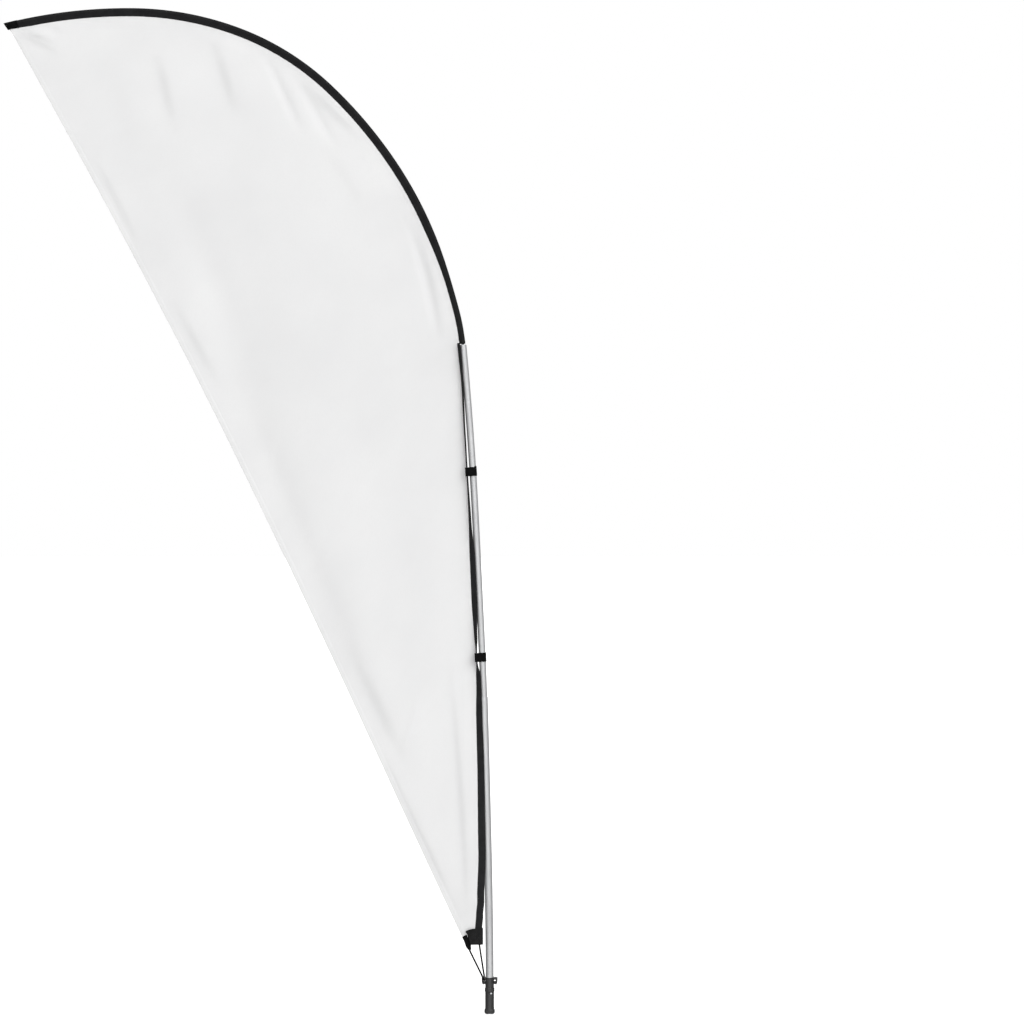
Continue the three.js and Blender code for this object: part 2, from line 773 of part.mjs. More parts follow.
// A strap's two pieces in the mast's own frame at its height: the band round the tube, and its closing flap.
function strap(name, height, tubeDiameter) {
  const middle = tubeDiameter / 2 + strapClearance + strapThickness / 2;
  const outside = middle + strapThickness / 2;
  const tabFront = -(tapeWidth / 2 + gap + strapThickness / 2 + 0.4);
  const besideTape = -outside - strapThickness / 2 + 0.6;
  const edges = [() => -strapWidth / 2, () => strapWidth / 2];
  const round = arc(0, 0, middle, 180, foldAngle, 12);
  const band = [[-flapReach, tabFront], [besideTape, tabFront], [besideTape, tabFront / 2], ...round];
  const closing = -Math.max(middle, -tabFront + strapThickness + gap);
  const foldStep = THREE.MathUtils.radToDeg(gap / middle);
  const overTab = [[besideTape + 1.8, closing], [-flapReach, closing - 0.2]];
  const flap = [...arc(0, 0, middle, foldAngle - foldStep, -90, 4), ...overTab];
  const place = mastAt(height);
  const group = new THREE.Group();
  group.position.copy(place.point);
  group.rotation.y = -place.lean;
  group.add(piece(`strap_${name}_band`, ribbon(band, strapThickness, ...edges), webbing));
  group.add(piece(`strap_${name}_flap`, ribbon(flap, strapThickness, ...edges), webbing));
  const [foldSide, foldBack] = arc(0, 0, outside + gap / 2, foldAngle - foldStep / 2, 0, 1)[0];
  group.userData.joint = {
    name: `strap_${name}_peel`,
    point: beside(height, foldSide, foldBack),
    axis: new THREE.Vector3(-Math.sin(place.lean), 0, Math.cos(place.lean)),
  };
  return group;
}

// ---- The flag ----

const rotator = new THREE.Group();
rotator.add(piece("rotator_core", rotatorCore(), steel));
rotator.add(piece("retaining_ring", retainingRing(), steel));

const foot = new THREE.Group();
foot.add(piece("foot_sleeve", footSleeve(), blackPlastic));
foot.add(piece("hook_collar", hookCollar(), blackPlastic));
foot.add(piece("sleeve_rivet", sleeveRivet(), aluminium));
foot.add(piece("lower_bush", bush(shoulderTop + gap), bushPlastic));
foot.add(piece("upper_bush", bush(footHeight - upperBushDrop - bushLength), bushPlastic));

const mast = new THREE.Group();
mast.add(piece("lower_tube", lowerTube(), aluminium));
mast.add(piece("upper_tube", upperTube(), aluminium));
mast.add(piece("rod_seat", rodSeat(), blackPlastic));
mast.add(piece("bow_rod_lower", rod(upperTubeTop - rodSeatDepth + gap, rodJoint - gap / 2), fibreglass));
mast.add(piece("bow_ferrule", bowFerrule(), steel));
mast.add(piece("bow_rod_upper", rod(rodJoint + gap / 2, rodEnd), fibreglass));
mast.add(piece("bow_tip_cap", bowTipCap(), blackPlastic));

const sail = new THREE.Group();
sail.add(piece("bow_pocket", bowPocket(), blackCloth));
sail.add(piece("tip_patch", tipPatch(), webbing));
sail.add(piece("sail_panel", sailPanel(), sailCloth));
sail.add(piece("luff_tape", luffTape(), blackCloth));
sail.add(piece("corner_band", cornerBand(), webbing));
sail.add(piece("corner_tab", cornerTab(), webbing));
sail.add(piece("tension_cord", tensionCord(), elastic));
sail.add(piece("cord_knot", cordKnot(), elastic));

const flag = new THREE.Group();
flag.name = "teardrop_flag";
flag.add(rotator, foot, mast, sail);
flag.add(strap("lower", strapHeights.lower, upperTubeDiameter));
flag.add(strap("upper", strapHeights.upper, upperTubeDiameter));

export default flag;
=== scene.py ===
"""Teardrop flag: the visual model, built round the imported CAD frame.

Sizes are in millimetres, as in the CAD, and become metres where a mesh is made.
The sail lies in the XZ plane on the -X side of the mast, and its shown face looks to -Y.
"""

import math

import bmesh
import bpy
import numpy as np
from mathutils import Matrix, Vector


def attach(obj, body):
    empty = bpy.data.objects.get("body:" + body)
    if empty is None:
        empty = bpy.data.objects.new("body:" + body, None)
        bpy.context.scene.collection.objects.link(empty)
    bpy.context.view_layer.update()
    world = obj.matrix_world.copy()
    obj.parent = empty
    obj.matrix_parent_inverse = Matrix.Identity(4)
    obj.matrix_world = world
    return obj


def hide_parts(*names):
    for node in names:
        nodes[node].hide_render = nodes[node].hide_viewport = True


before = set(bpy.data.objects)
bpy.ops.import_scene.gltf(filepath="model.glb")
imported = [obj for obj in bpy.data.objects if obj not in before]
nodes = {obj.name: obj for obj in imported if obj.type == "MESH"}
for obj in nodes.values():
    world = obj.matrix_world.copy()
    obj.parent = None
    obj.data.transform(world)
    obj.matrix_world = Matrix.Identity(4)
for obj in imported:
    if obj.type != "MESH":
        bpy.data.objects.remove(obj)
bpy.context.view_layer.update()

MM = 0.001

# ---- Sizes shared with the CAD ----
GAP = 0.3
FOOT_HEIGHT = 102
LOWER_TUBE_DIAMETER = 22
TUBE_WALL = 1.2
LOWER_TUBE_TOP = 886
PLUG_DEPTH = 120
UPPER_TUBE_TOP = 1874
UPPER_TUBE_DIAMETER = LOWER_TUBE_DIAMETER - 2 * (TUBE_WALL + GAP)
TUBE_FOOT_RADIUS = LOWER_TUBE_DIAMETER / 2 + GAP
SLEEVE_RADIUS = TUBE_FOOT_RADIUS + 1.2
RUNNING_BORE = 6.8  # radius
FOOT_BOTTOM = 1.5
SHOULDER_TOP = 6
TUBE_START = SHOULDER_TOP + GAP
RIM_PROUD = 2.2
RIM_TOP = 13
COLLAR_PROUD = 1.1
COLLAR_BOTTOM = 62
COLLAR_TOP = 72
NECK_RADIUS = TUBE_FOOT_RADIUS + 0.9
NECK_START = COLLAR_TOP + GAP
RIVET_HEIGHT = 58
RIVET_ANGLE = -69
BOW_LENGTH = 1790
POCKET_START = UPPER_TUBE_TOP + 3
BOW_END = POCKET_START + BOW_LENGTH
POCKET_RADIUS = 6.4
TIP_PATCH_LENGTH = 34
TAPE_WIDTH = 20
TAPE_THICKNESS = 1.3
CORNER_HEIGHT = 242
LEECH_HOLLOW = 33
CORD_DIAMETER = 4
HOOK_SLOT = CORD_DIAMETER + 1.2
HOOK_SLOT_TOP = 6.4
HOOK_DROP = 21.5
HOOK_WINDOW = CORD_DIAMETER + 1.6
HOOK_CORNER = 3.4
CORD_BEND_RADIUS = 8
HOOK_DEPTH = 2 * (CORD_BEND_RADIUS - CORD_DIAMETER / 2 - GAP)
HOOK_REACH = NECK_RADIUS + HOOK_SLOT + 5
STRAP_HEIGHTS = {"lower": 998, "upper": 1518}
STRAP_WIDTH = 25
STRAP_THICKNESS = 1.4
STRAP_CLEARANCE = 0.4
FLAP_REACH = 21
BAND_FRONT, BAND_BACK, BAND_RIGHT, BAND_LEFT = -11.2, 1.2, -19, -65.5
BAND_BOTTOM = CORNER_HEIGHT - 48
BAND_HEIGHT = 41
WEBBING = 1.6

# ---- How far the drawn pieces stand proud of the CAD ----
CORD_PROUD = 0.45
POCKET_PROUD = 0.4
PATCH_PROUD = 1.2
TAPE_HALF_WIDTH = TAPE_WIDTH / 2 + 0.35

# Lean of the mast from upright, in degrees, at places along it.
LEANS = [
    (0, 0),
    (FOOT_HEIGHT, 0),
    (FOOT_HEIGHT + 58, 0.5),
    (LOWER_TUBE_TOP / 2, 1.3),
    (LOWER_TUBE_TOP - PLUG_DEPTH, 1.6),
    (LOWER_TUBE_TOP, 1.6),
    (LOWER_TUBE_TOP + 110, 2.7),
    ((LOWER_TUBE_TOP + UPPER_TUBE_TOP) / 2, 2.9),
    (UPPER_TUBE_TOP, 5.3),
    (POCKET_START + 0.05 * BOW_LENGTH, 14.5),
    (POCKET_START + 0.13 * BOW_LENGTH, 18),
    (POCKET_START + 0.3 * BOW_LENGTH, 33.5),
    (POCKET_START + 0.46 * BOW_LENGTH, 46.5),
    (POCKET_START + 0.63 * BOW_LENGTH, 69.5),
    (POCKET_START + 0.8 * BOW_LENGTH, 89.5),
    (BOW_END, 104),
]

# Width of the pocket on the sail's side of the bow, at shares of the bow.
POCKET_WIDTHS = [(0, 10), (0.09, 10), (0.2, 16), (0.96, 16), (1, 12)]

# The luff tape: place along the mast, its middle beside the axis and behind it, and its turn from face-on.
FRONT = LOWER_TUBE_DIAMETER / 2
SIDE = -UPPER_TUBE_DIAMETER / 2
TAPE_IN_BAND = BAND_RIGHT - WEBBING / 2 - 1 - TAPE_WIDTH / 2
LOW, HIGH = STRAP_HEIGHTS["lower"], STRAP_HEIGHTS["upper"]
TAPE_STATIONS = [
    (CORNER_HEIGHT - 28, TAPE_IN_BAND + 0.4, -5, 10),
    (CORNER_HEIGHT - 4, TAPE_IN_BAND + 1.2, -5, 10),
    (CORNER_HEIGHT + 34, TAPE_IN_BAND + 4.4, -7.5, 9),
    (CORNER_HEIGHT + 76, -22.6, 0.5 - FRONT, 5),
    (CORNER_HEIGHT + 215, -16.3, -2.2 - FRONT, 3),
    (LOW - 288, -14.1, 1.6 - FRONT, 20),
    (LOW - 170, -14.6, 4.2 - FRONT, 33),
    (LOW - 60, SIDE - 3.9, -4.6, 51),
    (LOW - STRAP_WIDTH / 2, SIDE - 6.5, 0, 82),
    (LOW + STRAP_WIDTH / 2, SIDE - 6.5, 0, 82),
    (LOW + 60, SIDE - 6.4, -0.8, 62),
    (LOW + 160, SIDE - 5.5, -4.8, 40),
    (LOW + 272, SIDE - 5.3, -4.2, 45),
    (HIGH - 138, SIDE - 6.5, -1, 71),
    (HIGH - STRAP_WIDTH / 2, SIDE - 7, 0, 80),
    (HIGH + STRAP_WIDTH / 2, SIDE - 7, 0, 80),
    (HIGH + 110, SIDE - 6, 0, 77),
    (UPPER_TUBE_TOP - 100, SIDE - 2.5, 0, 76),
    (POCKET_START - 6, SIDE - 3, -6, 70),
]

# The elastic cord's route, as its CAD solid has it.
CORD_ROUTE = [
    (-54.3, -5.0, 174.4),
    (-51.2, -5.2, 168.0),
    (-43.6, -5.9, 152.6),
    (-35.0, -6.7, 135.4),
    (-26.9, -7.6, 119.0),
    (-21.9, -8.0, 108.8),
    (-18.9, -7.8, 102.2),
    (-17.1, -6.6, 97.8),
    (-15.8, -4.3, 94.9),
    (-15.0, -1.4, 93.5),
    (-14.8, 1.7, 93.5),
    (-14.8, 4.8, 94.9),
    (-14.8, 7.1, 97.7),
    (-15.0, 8.0, 101.4),
    (-16.2, 7.8, 109.0),
    (-18.2, 6.6, 122.0),
    (-20.9, 4.2, 140.0),
    (-23.9, 0.9, 160.0),
    (-26.7, -2.2, 180.0),
    (-28.4, -4.0, 192.0),
    (-29.4, -4.8, 200.0),
]

# ---- The mast's line ----


def evenly(stations, place, column=1):
    return np.interp(place, [s[0] for s in stations], [s[column] for s in stations])


def easily(stations, place, column=1):
    """Stations read with an easing in and out of each."""
    place = np.asarray(place, float)
    at = np.array([s[0] for s in stations], float)
    value = np.array([s[column] for s in stations], float)
    i = np.clip(np.searchsorted(at, place) - 1, 0, len(at) - 2)
    share = np.clip((place - at[i]) / (at[i + 1] - at[i]), 0, 1)
    return value[i] + (value[i + 1] - value[i]) * share * share * (3 - 2 * share)


MAST_STEP = 2
walk = np.arange(0, BOW_END + 60, MAST_STEP)
lean_of_step = np.radians(evenly(LEANS, walk + MAST_STEP / 2))
mast_x = np.concatenate([[0], np.cumsum(-MAST_STEP * np.sin(lean_of_step))])
mast_z = np.concatenate([[0], np.cumsum(MAST_STEP * np.cos(lean_of_step))])
mast_s = np.arange(len(mast_x)) * MAST_STEP


def beside(s, side, back=0.0):
    """Points beside the mast's axis: side across it, back along +Y, in millimetres."""
    s, side, back = np.broadcast_arrays(np.asarray(s, float), side, back)
    lean = np.radians(evenly(LEANS, s))
    x = np.interp(s, mast_s, mast_x) + side * np.cos(lean)
    z = np.interp(s, mast_s, mast_z) + side * np.sin(lean)
    return np.stack([x, back, z + np.minimum(s, 0)], axis=-1)


# ---- Paths ----


def joined(*parts):
    """Coordinates broadcast together into points."""
    return np.stack(np.broadcast_arrays(*parts), -1)


def round_angles(sides):
    return np.linspace(0, 2 * math.pi, sides, endpoint=False)


def arc(cx, cy, radius, start, end, steps):
    angles = np.radians(np.linspace(start, end, steps + 1))
    return [(cx + radius * math.cos(a), cy + radius * math.sin(a)) for a in angles]


def distances(points):
    """How far along a path each of its points lies."""
    return np.concatenate([[0], np.cumsum(np.linalg.norm(np.diff(points, axis=0), axis=1))])


def read_path(points, run, at):
    """The path's points at the places `at` along it."""
    return np.stack([np.interp(at, run, column) for column in points.T], -1)


def evenly_spaced(points, step):
    points = np.asarray(points, float)
    run = distances(points)
    return read_path(points, run, np.linspace(0, run[-1], max(2, round(run[-1] / step) + 1)))


def smooth_path(points, step):
    """A centripetal curve through the points, with a point at every step."""
    p = np.array(points, float)
    p = np.vstack([2 * p[0] - p[1], p, 2 * p[-1] - p[-2]])
    out = []
    for i in range(1, len(p) - 2):
        layer = p[i - 1 : i + 3]
        t = np.cumsum([0, *np.linalg.norm(np.diff(layer, axis=0), axis=1) ** 0.5])
        at = np.linspace(t[1], t[2], 24, endpoint=False)[:, None]
        for spans in (((0, 1), (1, 2), (2, 3)), ((0, 2), (1, 3)), ((1, 2),)):
            layer = [
                ((t[b] - at) * first + (at - t[a]) * second) / (t[b] - t[a])
                for (a, b), first, second in zip(spans, layer, layer[1:])
            ]
        out.append(layer[0])
    return evenly_spaced(np.vstack([*out, p[-2][None]]), step)


# ---- Mesh helpers ----


def mesh_object(name, points, faces, local=None, sharp=None):
    """A smooth-shaded mesh piece from points in millimetres. local is stored for the materials."""
    mesh = bpy.data.meshes.new(name)
    mesh.from_pydata((np.asarray(points, float) * MM).tolist(), [], faces)
    mesh.validate()
    mesh.shade_smooth()
    if sharp is not None:
        mesh.set_sharp_from_angle(angle=math.radians(sharp))
    if local is not None:
        store = mesh.attributes.new("local", "FLOAT_VECTOR", "POINT")
        store.data.foreach_set("vector", np.asarray(local, np.float32).ravel())
    piece = bpy.data.objects.new(name, mesh)
    bpy.context.scene.collection.objects.link(piece)
    return piece


def grid_faces(rows, columns, wrap_rows=False, wrap_columns=False, start=0, flip=False):
    i = np.arange(rows if wrap_rows else rows - 1)
    j = np.arange(columns if wrap_columns else columns - 1)
    i, j = np.meshgrid(i, j, indexing="ij")
    i2, j2 = (i + 1) % rows, (j + 1) % columns
    quads = np.stack([i * columns + j, i * columns + j2, i2 * columns + j2, i2 * columns + j], -1)
    quads = quads.reshape(-1, 4)
    if flip:
        quads = quads[:, ::-1]
    return (quads + start).tolist()


def bridge(ring, other):
    """Faces that join two closed rings of point numbers."""
    return np.stack([ring, other, np.roll(other, -1), np.roll(ring, -1)], -1).tolist()


def face_out(piece):
    """Turns every face of a closed piece outwards."""
    mesh = bmesh.new()
    mesh.from_mesh(piece.data)
    bmesh.ops.recalc_face_normals(mesh, faces=mesh.faces)
    mesh.to_mesh(piece.data)
    mesh.free()
    return piece


def capped(name, rings, local=None, sharp=None):
    """A solid through rings of the same number of points, closed flat at both ends."""
    rings = np.asarray(rings, float)
    rows, sides = rings.shape[:2]
    faces = grid_faces(rows, sides, wrap_columns=True)
    faces += [list(range(sides)), list(range((rows - 1) * sides, rows * sides))]
    return face_out(mesh_object(name, rings.reshape(-1, 3), faces, local, sharp))


def turned(name, profile, sides=96, ribs=None):
    """A closed profile of (radius, place along the mast) turned round the mast's axis."""
    radius, place = np.array(profile, float).T
    angle = round_angles(sides)
    r = np.repeat(radius[:, None], sides, axis=1)
    s = np.repeat(place[:, None], sides, axis=1)
    if ribs is not None:
        r = r + ribs(r, s, angle[None, :])
    side, back = r * np.cos(angle), r * np.sin(angle)
    points = beside(s, side, back).reshape(-1, 3)
    local = np.stack([side, back, s], -1).reshape(-1, 3)
    faces = grid_faces(len(profile), sides, wrap_rows=True, wrap_columns=True)
    return face_out(mesh_object(name, points, faces, local))


def rounded(profile, radii, steps=4):
    """A closed profile with each corner rounded by its own radius."""
    points = [Vector(p) for p in profile]
    out = []
    for i, corner in enumerate(points):
        before, after = points[i - 1], points[(i + 1) % len(points)]
        radius = radii[i] if isinstance(radii, (list, tuple)) else radii
        a, b = before - corner, after - corner
        reach = min(radius, 0.45 * a.length, 0.45 * b.length)
        if reach < 1e-3:
            out.append(tuple(corner))
            continue
        start, end = corner + a.normalized() * reach, corner + b.normalized() * reach
        for k in range(steps + 1):
            t = k / steps
            out.append(tuple(start * (1 - t) ** 2 + corner * 2 * t * (1 - t) + end * t * t))
    return out


def along(profile, step):
    """The profile with points added, so that no stretch is longer than step."""
    out = []
    for i, p in enumerate(profile):
        q = profile[(i + 1) % len(profile)]
        count = max(1, math.ceil(math.hypot(q[0] - p[0], q[1] - p[1]) / step))
        out += [(p[0] + (q[0] - p[0]) * k / count, p[1] + (q[1] - p[1]) * k / count) for k in range(count)]
    return out


def thick_sheet(name, grid, thickness, local):
    """A closed sheet round a grid of points, with its thickness at each of them."""
    rows, columns = grid.shape[:2]
    down = np.gradient(grid, axis=0)
    across = np.gradient(grid, axis=1)
    normal = np.cross(down, across)
    normal /= np.maximum(np.linalg.norm(normal, axis=2, keepdims=True), 1e-9)
    thickness = np.broadcast_to(thickness, (rows, columns))[..., None]
    front = grid + normal * thickness / 2
    back = grid - normal * thickness / 2
    points = np.concatenate([front.reshape(-1, 3), back.reshape(-1, 3)])
    count = rows * columns
    faces = grid_faces(rows, columns) + grid_faces(rows, columns, start=count, flip=True)
    index = np.arange(count).reshape(rows, columns)
    rim = np.concatenate([index[0, :-1], index[:-1, -1], index[-1, :0:-1], index[:0:-1, 0]])
    faces += bridge(rim, rim + count)
    return face_out(mesh_object(name, points, faces, np.concatenate([local.reshape(-1, 3)] * 2)))


def soft_edges(across, half, radius, thickness):
    """Thickness that rounds off towards both edges of a strip."""
    inside = np.clip((np.abs(across) - (half - radius)) / radius, 0, 1)
    return thickness * np.sqrt(np.maximum(1 - inside**2, 0.02))


def edge_columns(half, radius, count):
    """Places across a strip, closer together where its edges round off."""
    edge = half - radius * (1 - np.sin(np.linspace(0, math.pi / 2, 5)))
    middle = np.linspace(-(half - radius), half - radius, count)
    return np.concatenate([-edge[:0:-1], middle, edge[1:]])


def path_frames(points):
    """Directions square to a path, carried along it without twisting."""
    forward = np.gradient(points, axis=0)
    forward /= np.linalg.norm(forward, axis=1, keepdims=True)
    first = np.cross(forward[0], [0.0, 1.0, 0.0])
    side = [first / np.linalg.norm(first)]
    for way in forward[1:]:
        turned_side = side[-1] - way * np.dot(side[-1], way)
        side.append(turned_side / np.linalg.norm(turned_side))
    side = np.array(side)
    return side, np.cross(forward, side)


def rope(name, points, radius, sides=28, braid=0.0, pitch=7.0, strands=4, closed=False):
    """A round cord along a path, with its braid raised on it."""
    side, up = path_frames(points)
    run = distances(points)[:, None]
    angle = round_angles(sides)[None]
    turn = 2 * math.pi * run / pitch
    over = np.maximum(np.cos(strands * angle + turn), np.cos(strands * angle - turn))
    r = radius + braid * (over - 1)
    if not closed:
        end = np.minimum(run, run[-1] - run)
        r = r * np.sqrt(np.clip(end / (0.6 * radius), 0.02, 1))
    ring = points[:, None] + r[..., None] * (
        np.cos(angle)[..., None] * side[:, None] + np.sin(angle)[..., None] * up[:, None]
    )
    local = joined(radius * np.cos(angle), radius * np.sin(angle), run).reshape(-1, 3)
    if not closed:
        return capped(name, ring, local)
    faces = grid_faces(len(points), sides, wrap_columns=True, wrap_rows=True)
    return face_out(mesh_object(name, ring.reshape(-1, 3), faces, local))


def stitches(name, path, outward, pitch, length, radius):
    """A row of thread stitches lying on a seam: path is its line and outward the way the surface faces."""
    run = distances(path)
    starts = np.arange(pitch, run[-1] - pitch, pitch)
    shape = np.array([(-0.5, 0.0), (-0.32, 0.8), (0.0, 1.0), (0.32, 0.8), (0.5, 0.0)])
    sides = 6
    angle = round_angles(sides)
    middle, face = read_path(path, run, starts), read_path(outward, run, starts)
    way = read_path(path, run, starts + 0.5) - read_path(path, run, starts - 0.5)
    way /= np.linalg.norm(way, axis=1, keepdims=True)
    face /= np.linalg.norm(face, axis=1, keepdims=True)
    across = np.cross(way, face)
    points, faces = [], []
    for k in range(len(starts)):
        base = len(points)
        for place, swell in shape:
            at = middle[k] + way[k] * place * length + face[k] * radius * (swell - 0.4)
            r = radius * (0.35 + 0.65 * swell)
            points += [at + r * (math.cos(a) * across[k] + math.sin(a) * face[k]) for a in angle]
        faces += grid_faces(len(shape), sides, wrap_columns=True, start=base)
        faces += [list(range(base, base + sides))[::-1], list(range(base + 4 * sides, base + 5 * sides))]
    points = np.array(points)
    return mesh_object(name, points, faces, points)


def apply_modifiers(piece):
    graph = bpy.context.evaluated_depsgraph_get()
    mesh = bpy.data.meshes.new_from_object(piece.evaluated_get(graph), depsgraph=graph)
    piece.modifiers.clear()
    piece.data = mesh
    return piece


def boolean(piece, tool, operation):
    cut = piece.modifiers.new("cut", "BOOLEAN")
    cut.object, cut.operation, cut.solver = tool, operation, "EXACT"
    apply_modifiers(piece)
    bpy.data.objects.remove(tool)
    return piece


def place_local(piece):
    """Stores each point's own place, in millimetres, for the materials."""
    mesh = piece.data
    co = np.empty(len(mesh.vertices) * 3, np.float32)
    mesh.vertices.foreach_get("co", co)
    if "local" in mesh.attributes:
        mesh.attributes.remove(mesh.attributes["local"])
    mesh.attributes.new("local", "FLOAT_VECTOR", "POINT").data.foreach_set("vector", co / MM)


def finish_piece(piece, body, slot, material, *replaced):
    piece.data.materials.clear()
    piece.data.materials.append(material)
    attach(piece, body)
    if replaced:
        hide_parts(*replaced)
    return piece


# ---- Camera, floor and light ----

VIEW_WIDTH = 2867.2  # of the picture, in the flag's plane
VIEW_CENTRE = (62.7, 1403.9)
CAMERA_DISTANCE = 6000

scene = bpy.context.scene
camera_data = bpy.data.cameras.new("camera")
camera_data.sensor_width = 36
camera_data.lens = 36 * CAMERA_DISTANCE / VIEW_WIDTH
camera_data.clip_end = 200
camera = bpy.data.objects.new("camera", camera_data)
camera.location = (VIEW_CENTRE[0] * MM, -CAMERA_DISTANCE * MM, VIEW_CENTRE[1] * MM)
camera.rotation_euler = (math.pi / 2, 0, 0)
scene.collection.objects.link(camera)
scene.camera = camera
scene.view_settings.view_transform = "Standard"


def studio_world():
    """White behind everything, and a dimmer light from all round."""
    world = bpy.data.worlds.new("studio")
    scene.world = world
    world.use_nodes = True
    tree = world.node_tree
    tree.nodes.clear()
    mix, path = tree.nodes.new("ShaderNodeMixShader"), tree.nodes.new("ShaderNodeLightPath")
    tree.links.new(path.outputs["Is Camera Ray"], mix.inputs[0])
    for socket, strength in ((1, WORLD_LIGHT), (2, 1.0)):
        white = tree.nodes.new("ShaderNodeBackground")
        white.inputs["Strength"].default_value = strength
        white.inputs["Color"].default_value = (1, 1, 1, 1)
        tree.links.new(white.outputs[0], mix.inputs[socket])
    tree.links.new(mix.outputs[0], tree.nodes.new("ShaderNodeOutputWorld").inputs[0])


def sun(name, strength, size, azimuth, elevation):
    """A distant softbox. azimuth is round from the camera's side, positive to the right, both in degrees."""
    light = bpy.data.lights.new(name, "SUN")
    light.energy = strength
    light.angle = math.radians(size)
    lamp = bpy.data.objects.new(name, light)
    a, e = math.radians(azimuth), math.radians(elevation)
    towards = Vector((math.sin(a) * math.cos(e), -math.cos(a) * math.cos(e), math.sin(e)))
    lamp.rotation_euler = towards.to_track_quat("Z", "Y").to_euler()
    scene.collection.objects.link(lamp)


WORLD_LIGHT = 0.3
studio_world()
sun("key", 2.7, 85, 6, 10)
sun("side", 1.1, 50, 50, 35)
sun("fill", 0.25, 60, -45, 5)
sun("back", 3.6, 60, 180, 50)


def pale_floor():
    material = bpy.data.materials.new("floor_paper")
    material.use_nodes = True
    shader = material.node_tree.nodes["Principled BSDF"]
    shader.inputs["Base Color"].default_value = (0.35, 0.35, 0.35, 1)
    shader.inputs["Roughness"].default_value = 0.9
    shader.inputs["Specular IOR Level"].default_value = 0.1
    shader.inputs["Emission Color"].default_value = (1, 1, 1, 1)
    shader.inputs["Emission Strength"].default_value = 0.88
    far = 60000
    corners = [(-far, -far, -1), (far, -far, -1), (far, far, -1), (-far, far, -1)]
    floor = mesh_object("floor", corners, [[0, 1, 2, 3]])
    floor.data.materials.append(material)
    floor.visible_diffuse = False
    floor.visible_glossy = False


pale_floor()

# ---- Materials ----


class Finish:
    """A procedural material, built up from patterns in millimetres on the piece."""

    def __init__(self, name, roughness, metallic=0.0, specular=0.5, on_cad=False):
        self.material = bpy.data.materials.new(name)
        self.material.use_nodes = True
        self.tree = self.material.node_tree
        self.shader = self.tree.nodes["Principled BSDF"]
        self.shader.inputs["Roughness"].default_value = roughness
        self.shader.inputs["Metallic"].default_value = metallic
        self.shader.inputs["Specular IOR Level"].default_value = specular
        if on_cad:
            place = self.node("ShaderNodeTexCoord").outputs["Object"]
            scaled = self.node("ShaderNodeVectorMath", operation="SCALE")
            self.link(place, scaled.inputs[0])
            scaled.inputs["Scale"].default_value = 1 / MM
            self.place = scaled.outputs[0]
        else:
            self.place = self.node("ShaderNodeAttribute", attribute_name="local").outputs["Vector"]

    def node(self, kind, **settings):
        made = self.tree.nodes.new(kind)
        for key, value in settings.items():
            setattr(made, key, value)
        return made

    def link(self, output, socket):
        self.tree.links.new(output, socket)

    def stretched(self, scale, turn=(0, 0, 0)):
        mapping = self.node("ShaderNodeMapping")
        self.link(self.place, mapping.inputs["Vector"])
        mapping.inputs["Scale"].default_value = scale
        mapping.inputs["Rotation"].default_value = [math.radians(a) for a in turn]
        return mapping.outputs[0]

    def noise(self, size, detail=3, rough=0.55, stretch=(1, 1, 1)):
        """Noise whose features are about size millimetres across."""
        made = self.node("ShaderNodeTexNoise")
        self.link(self.stretched([k / size for k in stretch]), made.inputs["Vector"])
        made.inputs["Scale"].default_value = 1
        made.inputs["Detail"].default_value = detail
        made.inputs["Roughness"].default_value = rough
        return made.outputs["Fac"]

    def waves(self, period, axis="X", distortion=0.0, turn=(0, 0, 0)):
        made = self.node("ShaderNodeTexWave", wave_type="BANDS", bands_direction=axis, wave_profile="SIN")
        self.link(self.stretched((1, 1, 1), turn), made.inputs["Vector"])
        made.inputs["Scale"].default_value = math.pi / 10 / period
        made.inputs["Distortion"].default_value = distortion
        made.inputs["Detail"].default_value = 1
        return made.outputs["Fac"]

    def sum(self, first, second, operation="ADD", clamp=False):
        made = self.node("ShaderNodeMath", operation=operation, use_clamp=clamp)
        for socket, value in zip(made.inputs, (first, second)):
            if isinstance(value, (int, float)):
                socket.default_value = value
            else:
                self.link(value, socket)
        return made.outputs[0]

    def between(self, value, low, high, to_low=0.0, to_high=1.0):
        made = self.node("ShaderNodeMapRange", clamp=True)
        self.link(value, made.inputs["Value"])
        for name, number in zip(("From Min", "From Max", "To Min", "To Max"), (low, high, to_low, to_high)):
            made.inputs[name].default_value = number
        return made.outputs[0]

    def colour(self, first, second, share):
        made = self.node("ShaderNodeMix", data_type="RGBA")
        self.link(share, made.inputs["Factor"])
        for socket, value in ((made.inputs[6], first), (made.inputs[7], second)):
            if isinstance(value, tuple):
                socket.default_value = (*value, 1)
            else:
                self.link(value, socket)
        return made.outputs[2]

    def paint(self, colour):
        self.link(colour, self.shader.inputs["Base Color"])

    def gloss(self, value, low, high):
        self.link(self.between(value, 0.3, 0.7, low, high), self.shader.inputs["Roughness"])

    def bumps(self, *layers):
        """Each layer is (height, depth in millimetres)."""
        normal = None
        for height, depth in layers:
            made = self.node("ShaderNodeBump")
            made.inputs["Strength"].default_value = 1
            made.inputs["Distance"].default_value = depth * MM
            self.link(height, made.inputs["Height"])
            if normal is not None:
                self.link(normal, made.inputs["Normal"])
            normal = made.outputs["Normal"]
        self.link(normal, self.shader.inputs["Normal"])


